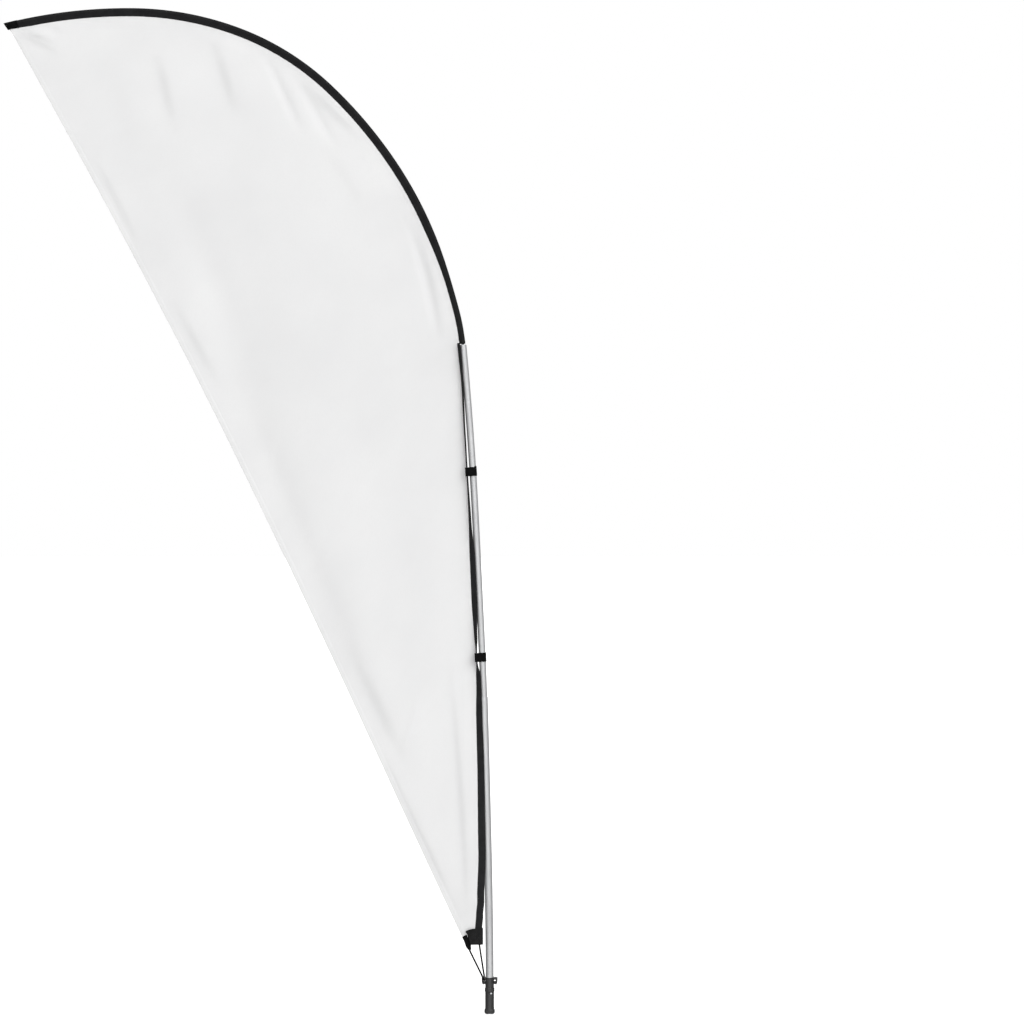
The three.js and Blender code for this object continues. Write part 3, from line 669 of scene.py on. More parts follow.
def sail_finish():
    """White knitted polyester: fine ribs, a faint cloudiness, and a soft sheen."""
    f = Finish("sail_polyester", 0.9, specular=0.2)
    f.shader.inputs["Sheen Weight"].default_value = 0.1
    f.shader.inputs["Sheen Roughness"].default_value = 0.6
    cloudy = f.noise(260, detail=4, rough=0.5)
    threads = f.noise(3.0, detail=2, stretch=(1, 1, 0.25))
    tone = f.colour((0.656, 0.656, 0.658), (0.690, 0.690, 0.690), f.between(cloudy, 0.3, 0.7))
    f.paint(f.colour(tone, (0.642, 0.642, 0.647), f.between(threads, 0.45, 0.8, 0, 0.35)))
    f.gloss(f.noise(40), 0.84, 0.94)
    weave = f.sum(f.waves(0.9, "X"), f.waves(1.1, "Z"), "MULTIPLY")
    f.bumps((f.noise(70, detail=3), 0.5), (weave, 0.06), (threads, 0.05))
    return f.material


def black_cloth_finish(name, dark=0.011, light=0.017, period=1.1):
    """Black woven polyester, its threads painted lighter on their crests as a painted highlight."""
    f = Finish(name, 0.9, specular=0.08)
    weave = f.sum(f.waves(period, "X", 0.3), f.waves(period, "Z", 0.3), "MULTIPLY")
    worn = f.noise(28, detail=4)
    base = f.colour((dark, dark, dark * 1.06), (light, light, light * 1.04), f.between(worn, 0.35, 0.7))
    # Painted highlight: a lighter tone laid on the crests of the weave, where the bump is highest.
    f.paint(f.colour(base, (light * 1.7, light * 1.7, light * 1.75), f.between(weave, 0.55, 1, 0, 0.5)))
    f.gloss(f.noise(9), 0.78, 0.92)
    f.bumps((worn, 0.25), (weave, 0.12), (f.noise(0.9), 0.05))
    return f.material


def webbing_finish(name, dark, light, rib=1.9, specular=0.1):
    """Heavy webbing in a herringbone: ribs along it, crossed by slanting threads, with a painted highlight
    on the crests of the weave.
    """
    f = Finish(name, 0.85, specular=specular)
    ribs = f.waves(rib, "X")
    slant = f.waves(rib * 0.8, "DIAGONAL", 0.6)
    weave = f.sum(ribs, slant, "MULTIPLY")
    worn = f.noise(14, detail=4)
    base = f.colour((dark, dark, dark), (light, light, light * 1.03), f.between(worn, 0.3, 0.7))
    # Painted highlight: a lighter tone laid on the crests of the weave, where the bump is highest.
    f.paint(f.colour(base, (light * 2, light * 2, light * 2.05), f.between(weave, 0.5, 1, 0, 0.45)))
    f.gloss(f.noise(5), 0.7, 0.88)
    f.bumps((weave, 0.3), (f.noise(0.7), 0.08))
    return f.material


def aluminium_finish():
    """Drawn satin aluminium: fine lines along the tube, faint handling marks, duller towards grazing."""
    f = Finish("satin_aluminium", 0.4, metallic=1)
    f.shader.inputs["Specular Tint"].default_value = (0.2, 0.2, 0.21, 1)
    lines = f.noise(0.35, detail=2, stretch=(1, 1, 0.004))
    smudge = f.noise(45, detail=4, stretch=(1, 1, 0.4))
    scuffs = f.noise(6, detail=5, rough=0.7, stretch=(1, 1, 0.15))
    base = f.colour((0.54, 0.545, 0.55), (0.62, 0.625, 0.63), f.between(lines, 0.3, 0.7))
    f.paint(f.colour(base, (0.47, 0.475, 0.485), f.between(scuffs, 0.6, 0.85, 0, 0.4)))
    f.link(f.between(f.sum(smudge, scuffs), 0.7, 1.3, 0.62, 0.72), f.shader.inputs["Roughness"])
    f.bumps((lines, 0.015), (scuffs, 0.01))
    return f.material


def plastic_finish(name, dark, light, rough, on_cad=False):
    """Moulded plastic with a fine spark-eroded grain, painted lighter on its peaks as a painted highlight,
    and handling marks.
    """
    f = Finish(name, rough, specular=0.3, on_cad=on_cad)
    grain = f.noise(0.45, detail=2)
    marks = f.noise(7, detail=5, rough=0.65)
    base = f.colour((dark,) * 3, (light, light, light * 1.02), f.between(marks, 0.35, 0.7))
    # Painted highlight: a lighter tone laid on the peaks of the grain, where its bump is highest.
    f.paint(f.colour(base, (light * 1.8,) * 3, f.between(grain, 0.62, 0.85, 0, 0.35)))
    f.gloss(marks, rough - 0.08, rough + 0.1)
    f.bumps((marks, 0.08), (grain, 0.06))
    return f.material


def steel_finish(on_cad=True):
    f = Finish("plated_steel" if on_cad else "rivet_steel", 0.3, metallic=1, on_cad=on_cad)
    turned_lines = f.noise(0.3, detail=2, stretch=(0.2, 0.2, 1))
    stain = f.noise(5, detail=4)
    base = f.colour((0.5, 0.51, 0.53), (0.66, 0.67, 0.69), f.between(turned_lines, 0.3, 0.7))
    f.paint(f.colour(base, (0.4, 0.39, 0.38), f.between(stain, 0.55, 0.8, 0, 0.4)))
    f.gloss(stain, 0.24, 0.4)
    f.bumps((turned_lines, 0.01))
    return f.material


def fibreglass_finish():
    """Pultruded rod: glass fibres along it under a thin resin skin."""
    f = Finish("pultruded_fibreglass", 0.4, specular=0.5, on_cad=True)
    fibres = f.noise(0.4, detail=3, stretch=(1, 1, 0.03))
    f.paint(f.colour((0.02, 0.021, 0.022), (0.06, 0.06, 0.062), f.between(fibres, 0.35, 0.7)))
    f.gloss(fibres, 0.34, 0.5)
    f.bumps((fibres, 0.02))
    return f.material


def thread_finish(name, tone):
    f = Finish(name, 0.7, specular=0.3)
    ply = f.waves(0.5, "DIAGONAL")
    f.paint(f.colour((tone * 0.8,) * 3, (tone,) * 3, f.between(ply, 0.2, 0.8)))
    f.gloss(f.noise(2), 0.6, 0.8)
    f.bumps((ply, 0.03))
    return f.material


sail_cloth = sail_finish()
black_cloth = black_cloth_finish("pocket_cloth")
tape_cloth = black_cloth_finish("luff_tape_cloth", 0.013, 0.020, 0.9)
webbing = webbing_finish("corner_webbing", 0.008, 0.015)
strap_cloth = webbing_finish("strap_webbing", 0.002, 0.006, 1.3, 0.05)
elastic = webbing_finish("braided_elastic", 0.0015, 0.004, 0.9, 0.03)
aluminium = aluminium_finish()
black_plastic = plastic_finish("moulded_black_plastic", 0.022, 0.034, 0.4)
white_thread = thread_finish("white_thread", 0.8)
black_thread = thread_finish("black_thread", 0.02)
rivet_steel = steel_finish(on_cad=False)

# ---- CAD nodes that show as they are, or sit inside ----

inside_finishes = {
    ("rotator_core", "retaining_ring", "bow_ferrule"): steel_finish(),
    ("bow_rod_lower", "bow_rod_upper"): fibreglass_finish(),
    ("lower_bush", "upper_bush"): plastic_finish("bush_nylon", 0.5, 0.62, 0.5, on_cad=True),
    ("rod_seat", "bow_tip_cap"): plastic_finish("inner_black_plastic", 0.02, 0.035, 0.5, on_cad=True),
}
for names, finish in inside_finishes.items():
    for name in names:
        for slot in nodes[name].material_slots:
            slot.material = finish

# ---- Elastic cord and its knot ----

cord_path = smooth_path(CORD_ROUTE, 0.4)
into_tab = cord_path[0] - cord_path[10]
into_tab /= np.linalg.norm(into_tab)
drawn_path = np.vstack([cord_path[0] + into_tab * reach for reach in np.arange(8, 0.3, -0.4)] + [cord_path])
braid = dict(sides=48, braid=0.07, pitch=12.0, strands=8)
cord = rope("elastic_cord", drawn_path, CORD_DIAMETER / 2 + CORD_PROUD, **braid)
finish_piece(cord, "mast", "elastic", elastic, "tension_cord")


def overhand_knot():
    """The cord's end drawn into a small knot above its last run."""
    end = CORD_ROUTE[-1]
    centre = np.array([end[0], end[1], end[2] + 1.4 * CORD_DIAMETER + GAP])
    t = round_angles(160)
    wide, deep = 2.1 + 0.95 * np.cos(3 * t), 1.9 + 0.85 * np.cos(3 * t)
    loop = joined(wide * np.cos(2 * t), deep * np.sin(2 * t), 2.6 * np.sin(3 * t))
    return rope("cord_end_knot", loop + centre, 1.75, sides=18, braid=0.12, closed=True)


knot = finish_piece(overhand_knot(), "mast", "elastic", elastic, "cord_knot")

# ---- Tubes ----


CRIMP_PLACE = UPPER_TUBE_TOP - 160


def crimp(r, s, angle):
    """A punched dimple on the front that holds the bow's seat."""
    facing = np.angle(np.exp(1j * (angle + math.radians(80))))
    away = np.hypot((s - CRIMP_PLACE) / 3.2, facing * r / 3.2)
    return -0.7 * np.exp(-(away**2) * 1.5)


def tube(name, diameter, start, end, foot_round, rows=(), dent=None):
    """A tube with softened rims. rows are extra places along its outside, where a dent needs them."""
    radius, bore = diameter / 2, diameter / 2 - TUBE_WALL
    outside = [(radius, start), *((radius, place) for place in rows), (radius, end)]
    radii = [foot_round, 0.3, *([0] * len(rows)), 0.35, 0.3]
    profile = rounded([(bore, start), *outside, (bore, end)], radii, 3)
    made = turned(f"{name}_drawn", along(profile, 12), 96, dent)
    finish_piece(made, "mast", "aluminium", aluminium, name)


tube("lower_tube", LOWER_TUBE_DIAMETER, TUBE_START, LOWER_TUBE_TOP, 0.2)
crimp_rows = [CRIMP_PLACE + reach for reach in (-8, *np.arange(-7, 7.5, 0.5), 8)]
tube("upper_tube", UPPER_TUBE_DIAMETER, LOWER_TUBE_TOP - PLUG_DEPTH, UPPER_TUBE_TOP, 0.3, crimp_rows, crimp)

# ---- Foot fitting ----


def foot_body():
    """The moulded sleeve. Each corner is (radius, height, rounding)."""
    rim, collar = SLEEVE_RADIUS + RIM_PROUD, SLEEVE_RADIUS + COLLAR_PROUD
    corners = [
        (RUNNING_BORE, FOOT_BOTTOM, 0.3),
        (rim - 0.7, FOOT_BOTTOM, 1.0),
        (rim, FOOT_BOTTOM + 2.4, 1.5),
        (rim, RIM_TOP - 2.7, 1.2),
        (SLEEVE_RADIUS + 0.4, RIM_TOP + 0.4, 1.2),
        (SLEEVE_RADIUS, RIM_TOP + 3, 2.0),
        (SLEEVE_RADIUS, COLLAR_BOTTOM - 1.4, 1.0),
        (collar, COLLAR_BOTTOM + 0.6, 0.8),
        (collar, COLLAR_TOP - 0.8, 0.9),
        (collar - 0.8, COLLAR_TOP, 0.5),
        (TUBE_FOOT_RADIUS, COLLAR_TOP, 0.3),
        (TUBE_FOOT_RADIUS, SHOULDER_TOP, 0.3),
        (RUNNING_BORE, SHOULDER_TOP, 0.3),
    ]
    profile = rounded([c[:2] for c in corners], [c[2] for c in corners], 4)

    def ribs(r, s, angle):
        """Shallow grip ribs round the rim, fading out above and below it."""
        on_rim = np.clip((r - SLEEVE_RADIUS - 1.2) / 0.8, 0, 1) * np.clip((s - 2.5) / 1.5, 0, 1)
        return 0.22 * (np.cos(36 * angle) - 1) * on_rim

    body = turned("foot_sleeve_moulded", along(profile, 3), 288, ribs)
    boolean(body, capped("rivet_hole", [rivet_ring(2.2, reach, 32) for reach in (6, 20)]), "DIFFERENCE")
    body.data.set_sharp_from_angle(angle=math.radians(40))
    place_local(body)
    return body


def rivet_ring(radius, reach, sides):
    """Points round the rivet's line, square to the foot's axis, at a reach out from it."""
    a = math.radians(RIVET_ANGLE)
    way, across = np.array([math.cos(a), math.sin(a), 0]), np.array([-math.sin(a), math.cos(a), 0])
    up = np.array([0.0, 0.0, 1.0])
    angle = round_angles(sides)[:, None]
    return radius * (np.cos(angle) * across + np.sin(angle) * up) + up * RIVET_HEIGHT + way * reach


def rivet():
    """A pop rivet: a domed flange, and the mandrel's broken end in its middle."""
    seat = SLEEVE_RADIUS + GAP
    profile = [
        (0, 1.15), (0.35, 1.15), (0.5, 0.95), (0.62, 0.9), (0.8, 1.25), (1.3, 1.45), (1.9, 1.3),
        (2.6, 0.85), (3.1, 0.3), (3.2, 0.0), (3.1, -0.15), (1.9, -0.2), (1.9, -3.6), (0, -3.6),
    ]
    made = capped("pop_rivet", [rivet_ring(max(r, 0.02), seat + h, 40) for r, h in profile], sharp=35)
    place_local(made)
    return made


HOOK_ROOT = 0.45  # of a hook inside the collar's wall


def hook_outline():
    """One hook in its own plane: out from the collar, down round the slot, to a tip with a way in below."""
    slot_side, slot_end = NECK_RADIUS + HOOK_SLOT, -HOOK_SLOT_TOP - HOOK_SLOT / 2
    return [
        (NECK_RADIUS - HOOK_ROOT, 0),
        *arc(HOOK_REACH - HOOK_CORNER, -HOOK_CORNER, HOOK_CORNER, 90, 0, 8)[:-1],
        (HOOK_REACH, -3.6),
        (HOOK_REACH - 0.2, -0.5 * HOOK_DROP),
        (HOOK_REACH - 1.0, -0.7 * HOOK_DROP),
        (HOOK_REACH - 2.2, -0.85 * HOOK_DROP),
        (HOOK_REACH - 4, -HOOK_DROP),
        (slot_side - 0.3, 0.6 - HOOK_DROP),
        (slot_side, -0.78 * HOOK_DROP),
        *arc(slot_side - HOOK_SLOT / 2, slot_end, HOOK_SLOT / 2, 0, 180, 12),
        (NECK_RADIUS - HOOK_ROOT, slot_end - 1),
    ]


def hook_back(sign):
    """The wall behind one hook's slot, below the window that the cord goes through."""
    inner, outer = NECK_RADIUS - HOOK_ROOT, NECK_RADIUS + HOOK_SLOT + 0.8
    bottom, top = FOOT_HEIGHT + 0.5 - HOOK_DROP, FOOT_HEIGHT - HOOK_SLOT_TOP - HOOK_WINDOW
    front, back = HOOK_DEPTH / 2 - 2, HOOK_DEPTH / 2 - 0.05
    ring = [(inner, front), (outer, front), (outer, back), (inner, back)]
    return capped("hook_back", [[(sign * x, y, z) for x, y in ring] for z in (bottom, top)])


def hook_collar_body():
    """The collar and both hooks as one moulding, with the cord's groove, softened all over."""
    top = FOOT_HEIGHT
    ends = [(TUBE_FOOT_RADIUS, NECK_START), (NECK_RADIUS, NECK_START)]
    ring = [*ends, (NECK_RADIUS, top), (TUBE_FOOT_RADIUS, top)]
    body = turned("hook_collar_moulded", along(rounded(ring, 0.3, 3), 4), 96)
    outline = hook_outline()
    for sign in (1, -1):
        faces = [[(sign * x, y, top + z) for x, z in outline] for y in (-HOOK_DEPTH / 2, HOOK_DEPTH / 2)]
        boolean(body, capped("hook", faces), "UNION")
        boolean(body, hook_back(sign), "UNION")
    groove_path = smooth_path(CORD_ROUTE[4:16], 1.0)
    boolean(body, rope("groove", groove_path, CORD_DIAMETER / 2 + 0.6, sides=20), "DIFFERENCE")
    mesher = body.modifiers.new("moulding", "REMESH")
    mesher.mode, mesher.voxel_size, mesher.use_smooth_shade = "VOXEL", 0.32 * MM, True
    smoother = body.modifiers.new("soften", "SMOOTH")
    smoother.factor, smoother.iterations = 0.5, 4
    apply_modifiers(body)
    body.data.shade_smooth()
    place_local(body)
    return body


finish_piece(foot_body(), "mast", "black_plastic", black_plastic, "foot_sleeve")
finish_piece(hook_collar_body(), "mast", "black_plastic", black_plastic, "hook_collar")
finish_piece(rivet(), "mast", "aluminium", rivet_steel, "sleeve_rivet")

# ---- Bow pocket and tip patch ----

TIP_SLANT = 0.32  # of the cut end, back towards the sail


def pocket_width(s):
    return easily(POCKET_WIDTHS, (np.asarray(s) - POCKET_START) / BOW_LENGTH)


def pocket_section(radius, width, seam):
    """The pocket's section as (side, back) points: round over the bow, drawn to a flat seam."""
    over_bow = np.array(arc(0, 0, radius, -108, 108, 24))
    share = np.linspace(0, 1, 9, endpoint=False)
    drawn = share**1.15
    side = -width * (1 - drawn) + over_bow[0, 0] * drawn
    back = -seam + (over_bow[0, 1] + seam) * share**1.5
    lower = joined(side, back)
    return np.vstack([lower, over_bow, lower[::-1] * [1, -1]])


def pocket_points(places, extra, width_extra=0.0):
    """Rings of the pocket with its puckers: gathered along the seam and smooth over the bow."""
    rings, local = [], []
    for s in places:
        mouth = math.exp(-(((s - POCKET_START - 6) / 9.0) ** 2))
        pucker = 0.28 * math.sin(s / 3.1) * math.sin(s / 17.0 + 1) + 0.18 * math.sin(s / 7.3)
        width = float(pocket_width(s)) + width_extra
        section = pocket_section(POCKET_RADIUS + extra + 0.35 * mouth, width, 0.85 + extra)
        near_seam = np.clip(-section[:, 0] / 14, 0, 1)
        section[:, 1] += np.sign(section[:, 1]) * pucker * near_seam * (1 - near_seam) * 2.2
        section[:, 0] -= 0.35 * pucker * near_seam
        near_tip = max(0.0, (s - BOW_END + 45) / 45)
        rings.append(beside(s + TIP_SLANT * near_tip * section[:, 0], section[:, 0], section[:, 1]))
        local.append(joined(distances(section), 0.0, s))
    return np.array(rings), np.array(local)


def sewn_sleeve(name, places, extra, wall, width_extra, shut=False):
    """A double-walled sleeve round the bow, open at its mouth and, unless shut, at its end."""
    outer, local = pocket_points(places, extra, width_extra)
    inner, _ = pocket_points(places, extra - wall, width_extra - wall)
    rows, columns = outer.shape[:2]
    points = np.concatenate([outer.reshape(-1, 3), inner.reshape(-1, 3)])
    count = rows * columns
    faces = grid_faces(rows, columns, wrap_columns=True)
    faces += grid_faces(rows, columns, wrap_columns=True, start=count, flip=True)
    mouth = np.arange(columns)
    faces += bridge(mouth, mouth + count)
    end = mouth + (rows - 1) * columns
    if shut:
        for ring in (end.tolist(), (end + count).tolist()):
            half = columns // 2
            pairs = list(zip(ring[:half], ring[::-1]))
            faces += [[a, b, d, c] for (a, b), (c, d) in zip(pairs, pairs[1:])]
            faces.append([ring[half - 1], ring[half + 1], ring[half]])
    else:
        faces += bridge(end + count, end)
    return face_out(mesh_object(name, points, faces, np.concatenate([local.reshape(-1, 3)] * 2)))


pocket_places = np.linspace(POCKET_START, BOW_END, 560)
pocket = sewn_sleeve("bow_pocket_sewn", pocket_places, POCKET_PROUD, 0.7, 0.3)
finish_piece(pocket, "mast", "black_cloth", black_cloth, "bow_pocket")

patch_places = np.linspace(BOW_END - TIP_PATCH_LENGTH, BOW_END + 2, 24)
patch = sewn_sleeve("tip_patch_sewn", patch_places, PATCH_PROUD, 0.6, 1.3, shut=True)
finish_piece(patch, "mast", "webbing", strap_cloth, "tip_patch")

# ---- Luff tape ----


def tape_frame(s):
    """The tape's middle, the way across it to its free edge, and the way it faces."""
    side, back, turn = (easily(TAPE_STATIONS, s, column) for column in (1, 2, 3))
    lean, turn = np.radians(evenly(LEANS, s)), np.radians(turn)
    across = np.stack([np.cos(lean), 0 * lean, np.sin(lean)], -1)
    to_free = across * np.cos(turn)[..., None]
    to_free[..., 1] = -np.sin(turn)
    face = across * np.sin(turn)[..., None]
    face[..., 1] = np.cos(turn)
    return beside(s, side, back), to_free, face


def tape_surface(places, across):
    """The tape's middle surface, a little cupped and slack, at places along it and across it."""
    middle, to_free, face = tape_frame(places)
    slack = np.sin(places / 41.0) * np.sin(places / 97.0 + 0.7)
    wave = 0.32 * slack[:, None] * (across / 10)[None] + 0.35 * ((across / 10) ** 2)[None]
    return middle[:, None] + across[None, :, None] * to_free[:, None] + wave[..., None] * face[:, None]


TAPE_SEAM = 7.2  # from the tape's middle to each row of stitches


def luff_tape():
    places = np.linspace(TAPE_STATIONS[0][0], POCKET_START + 3, 420)
    across = edge_columns(TAPE_HALF_WIDTH, 0.7, 11)
    grid = tape_surface(places, across)
    thickness = soft_edges(across, TAPE_HALF_WIDTH, 0.7, TAPE_THICKNESS)
    sewn = np.exp(-(((np.abs(across) - TAPE_SEAM) / 0.7) ** 2))
    local = joined(across[None], 0.0, places[:, None])
    return thick_sheet("luff_tape_sewn", grid, (thickness * (1 - 0.22 * sewn))[None], local)


finish_piece(luff_tape(), "mast", "tape_cloth", tape_cloth, "luff_tape")


def tape_stitches(name, across_at, face_sign):
    places = np.linspace(TAPE_STATIONS[0][0] + 34, TAPE_STATIONS[-1][0] - 8, 500)
    face = tape_frame(places)[2]
    line = tape_surface(places, np.array([across_at]))[:, 0] + face * face_sign * TAPE_THICKNESS * 0.42
    made = stitches(name, line, face * face_sign, 3.6, 2.7, 0.28)
    return finish_piece(made, "mast", "tape_cloth", black_thread)


for label, sign in (("front", -1), ("back", 1)):
    tape_stitches(f"tape_stitches_{label}_inner", -TAPE_SEAM, sign)
    tape_stitches(f"tape_stitches_{label}_outer", TAPE_SEAM, sign)

# ---- The sail ----

SAIL_CORNER = np.array([-78.5, -5, CORNER_HEIGHT - 23.5])
LEECH_TOP = beside(BOW_END - 11, -21)
SEAM_TUCK = 2.5  # of the sail inside the tape and the pocket
SAIL_TUCK_DOWN = 9.0  # into the corner band
HEM_WIDTH = 14.0
CAMBER = 0.010

# Tension folds: kind, start and end in the flag's plane (x, z), width, depth, and sideways bend.
# A trough lies to the back. A step rises to the front towards the right.
FOLDS = [
    ("step", (-931, 2690), (-881, 2480), 15, 4.0, 0),
    ("step", (-772, 2722), (-708, 2520), 14, 4.0, 0),
    ("step", (-1037, 2655), (-1018, 2440), 20, 1.6, 0),
    ("trough", (-632, 2690), (-530, 2470), 15, 3.6, 0),
    ("trough", (-541, 2625), (-430, 2425), 16, 3.6, -4),
    ("step", (-503, 2594), (-355, 2446), 11, 4.0, 0),
    ("step", (-452, 2420), (-350, 2250), 15, 1.6, 0),
    ("trough", (-222, 2200), (-148, 1895), 13, 3.2, 5),
    ("step", (-196, 2190), (-132, 1895), 9, 2.2, 5),
    ("step", (-1306, 2752), (-1222, 2718), 8, 2.0, 0),
    ("step", (-1304, 2736), (-1212, 2692), 8, 1.6, 0),
    ("step", (-1240, 2773), (-1196, 2750), 7, 1.8, 0),
    ("trough", (-905, 2380), (-530, 1380), 52, 6.2, 10),
    ("step", (-770, 1960), (-540, 1400), 30, 3.4, 0),
    ("step", (-650, 1690), (-240, 705), 26, 2.6, 0),
    ("step", (-390, 1020), (-240, 712), 16, 3.3, 0),
    ("step", (-300, 735), (-84, 280), 9, 2.2, -3),
    ("step", (-112, 980), (-62, 262), 10, 3.0, 6),
    ("step", (-1098, 2380), (-985, 2160), 10, 2.0, 0),
    ("step", (-880, 1985), (-765, 1770), 11, 2.2, 0),
    ("step", (-250, 730), (-195, 910), 8, 1.2, 0),
    ("trough", (-700, 2150), (-590, 1760), 60, 3.4, 0),
]


def fold_height(x, z):
    """How far the cloth stands to the front at a place in the flag's plane."""
    height = np.zeros_like(x)
    for kind, start, end, width, depth, curve in FOLDS:
        start, end = np.array(start, float), np.array(end, float)
        way = end - start
        length = np.linalg.norm(way)
        way /= length
        right = np.array([-way[1], way[0]])
        right *= np.sign(right[0])
        t = ((x - start[0]) * way[0] + (z - start[1]) * way[1]) / length
        u = (x - start[0]) * right[0] + (z - start[1]) * right[1]
        inside = np.clip(t, 0, 1)
        u = u - curve * 4 * inside * (1 - inside)
        fade = np.sin(math.pi * np.clip((t + 0.12) / 1.24, 0, 1)) ** 1.3
        if kind == "step":
            profile = np.tanh(u / width) * np.exp(-((u / (5 * width)) ** 2))
        else:
            profile = -np.exp(-((u / width) ** 2))
        height += depth * fade * profile
    return height


def spar_line(places):
    """The sail's edge beside the tape and then beside the pocket, and its tucked-in edge."""
    edges = np.array([0.2, SEAM_TUCK]) - TAPE_WIDTH / 2
    on_tape, in_tape = (tape_surface(places, edges[[k]])[:, 0] for k in (0, 1))
    width = pocket_width(places)
    on_pocket = beside(places, -width - 0.1)
    in_pocket = beside(places, -width + SEAM_TUCK)
    top = TAPE_STATIONS[-1][0]
    share = np.clip((places - top) / (POCKET_START - top + 24), 0, 1)[:, None]
    share = share * share * (3 - 2 * share)
    return on_tape * (1 - share) + on_pocket * share, in_tape * (1 - share) + in_pocket * share


def leech_line(share):
    chord = LEECH_TOP - SAIL_CORNER
    inward = np.array([chord[2], 0, -chord[0]])
    inward /= np.linalg.norm(inward)
    bow = LEECH_HOLLOW * np.sin(math.pi * np.maximum(share, 0) ** 1.2)
    return SAIL_CORNER + chord * share[:, None] + inward * bow[:, None]


def sail_grid():
    rows, interior = 560, 128
    places = np.linspace(CORNER_HEIGHT - SAIL_TUCK_DOWN, BOW_END - 7, 2400)
    edge, tucked = spar_line(places)
    run = distances(edge)
    even = np.linspace(0, run[-1], rows)
    edge, tucked = (read_path(line, run, even) for line in (edge, tucked))
    leech = leech_line((even - SAIL_TUCK_DOWN) / (run[-1] - SAIL_TUCK_DOWN))
    spread = np.exp(-((np.arange(-90, 91) * run[-1] / rows / 150) ** 2))
    calm = np.convolve(np.pad(edge[:, 1], 90, mode="edge"), spread / spread.sum(), mode="valid")
    jump = edge[:, 1] - calm
    across = leech - edge
    length = np.linalg.norm(across, axis=1)
    seam = np.array([0, 1.2, 4.5, 8.4, 9.4, 10.4])
    hem = np.array([HEM_WIDTH + 2.5, HEM_WIDTH + 1, HEM_WIDTH, HEM_WIDTH - 1.2, 8, 3.5, 1, 0])
    squeeze = np.clip(length / 60, 0.2, 1)[:, None]
    from_spar, from_leech = seam * squeeze, length[:, None] - hem * squeeze
    first, last = from_spar[:, -1:], from_leech[:, :1]
    between = first + (last - first) * np.linspace(0, 1, interior + 2)[1:-1]
    distance = np.concatenate([from_spar, between, from_leech], axis=1)
    grid = edge[:, None] + across[:, None] * (distance / length[:, None])[..., None]
    share = distance / length[:, None]
    grid[..., 1] -= CAMBER * length[:, None] * np.sin(math.pi * share)
    grid[..., 1] += jump[:, None] * (np.exp(-distance / 45) - (1 - share))
    x, z = grid[..., 0], grid[..., 2]
    height = fold_height(x, z)
    height += 1.6 * np.sin(x / 97 + z / 310) * np.sin(z / 173 - x / 240 + 1.1)
    height += 1.1 * np.sin(x / 41 - z / 120 + 0.5) * np.sin(z / 77 + 0.3)
    at_seam = np.clip(distance / 40, 0, 1) ** 0.8
    ends = np.clip(np.minimum(even / 90, (run[-1] - even) / 40), 0.1, 1)[:, None]
    gather = 0.55 * np.sin(even / 6.5 + np.sin(even / 53))[:, None] * np.exp(-distance / 16)
    slack_edge = 1.2 * np.sin(even / 60)[:, None] * np.exp(-(length[:, None] - distance) / 45)
    grid[..., 1] -= (height * at_seam + gather * np.clip(distance / 3, 0, 1) + slack_edge) * ends
    hemmed = np.clip((HEM_WIDTH + 0.8 - (length[:, None] - distance) / squeeze) / 1.6, 0, 1)
    seamed = np.clip((9.9 - distance / squeeze) / 1.2, 0, 1)
    thickness = 0.55 + 0.55 * hemmed + 0.35 * seamed
    grid = np.concatenate([tucked[:, None], grid], axis=1)
    thickness = np.concatenate([np.full((rows, 1), 0.5), thickness], axis=1)
    distance = np.concatenate([np.full((rows, 1), -SEAM_TUCK), distance], axis=1)
    return grid, thickness, joined(distance, 0.0, even[:, None]), length


grid, thickness, local, row_length = sail_grid()
sail = thick_sheet("sail_cloth_panel", grid, thickness, local)
finish_piece(sail, "mast", "sail_cloth", sail_cloth, "sail_panel")


def seam_row(name, inset, from_leech, sign, material):
    """Stitches along the sail at a distance in from one of its edges."""
    distance = local[..., 0]
    if from_leech:
        distance = row_length[:, None] - distance
    distance = np.where(np.arange(distance.shape[1]) == 0, 1e6 if from_leech else -SEAM_TUCK, distance)
    squeeze = np.clip(row_length / 60, 0.2, 1)
    line = []
    for row in range(5, len(grid) - 3):
        order = np.argsort(distance[row])
        line.append(read_path(grid[row, order], distance[row][order], inset * squeeze[row]))
    line = np.array(line)
    outward = np.tile([0.0, sign, 0.0], (len(line), 1))
    lifted = line + outward * (0.5 if from_leech else 0.42)
    return finish_piece(stitches(name, lifted, outward, 3.8, 2.9, 0.22), "mast", "sail_cloth", material)


hem_rows = [
    seam_row(f"{edge}_stitches_{face}", inset, edge == "hem", sign, white_thread)
    for edge, inset in (("hem", 11.5), ("seam", 6.0))
    for face, sign in (("front", -1.0), ("back", 1.0))
]

# The panel as cut: its outline laid flat, the way of its free edge, and its area, without folds or belly.
outline = np.concatenate([grid[:, 0], grid[::-1, -1]])[:, [0, 2]] * MM
free_edge = grid[-1, -1, [0, 2]] - grid[0, -1, [0, 2]]
free_edge /= np.linalg.norm(free_edge)
after = np.roll(outline, -1, axis=0)
flat_area = float(abs((outline[:, 0] * after[:, 1] - outline[:, 1] * after[:, 0]).sum()) / 2)

# ---- Bottom corner ----


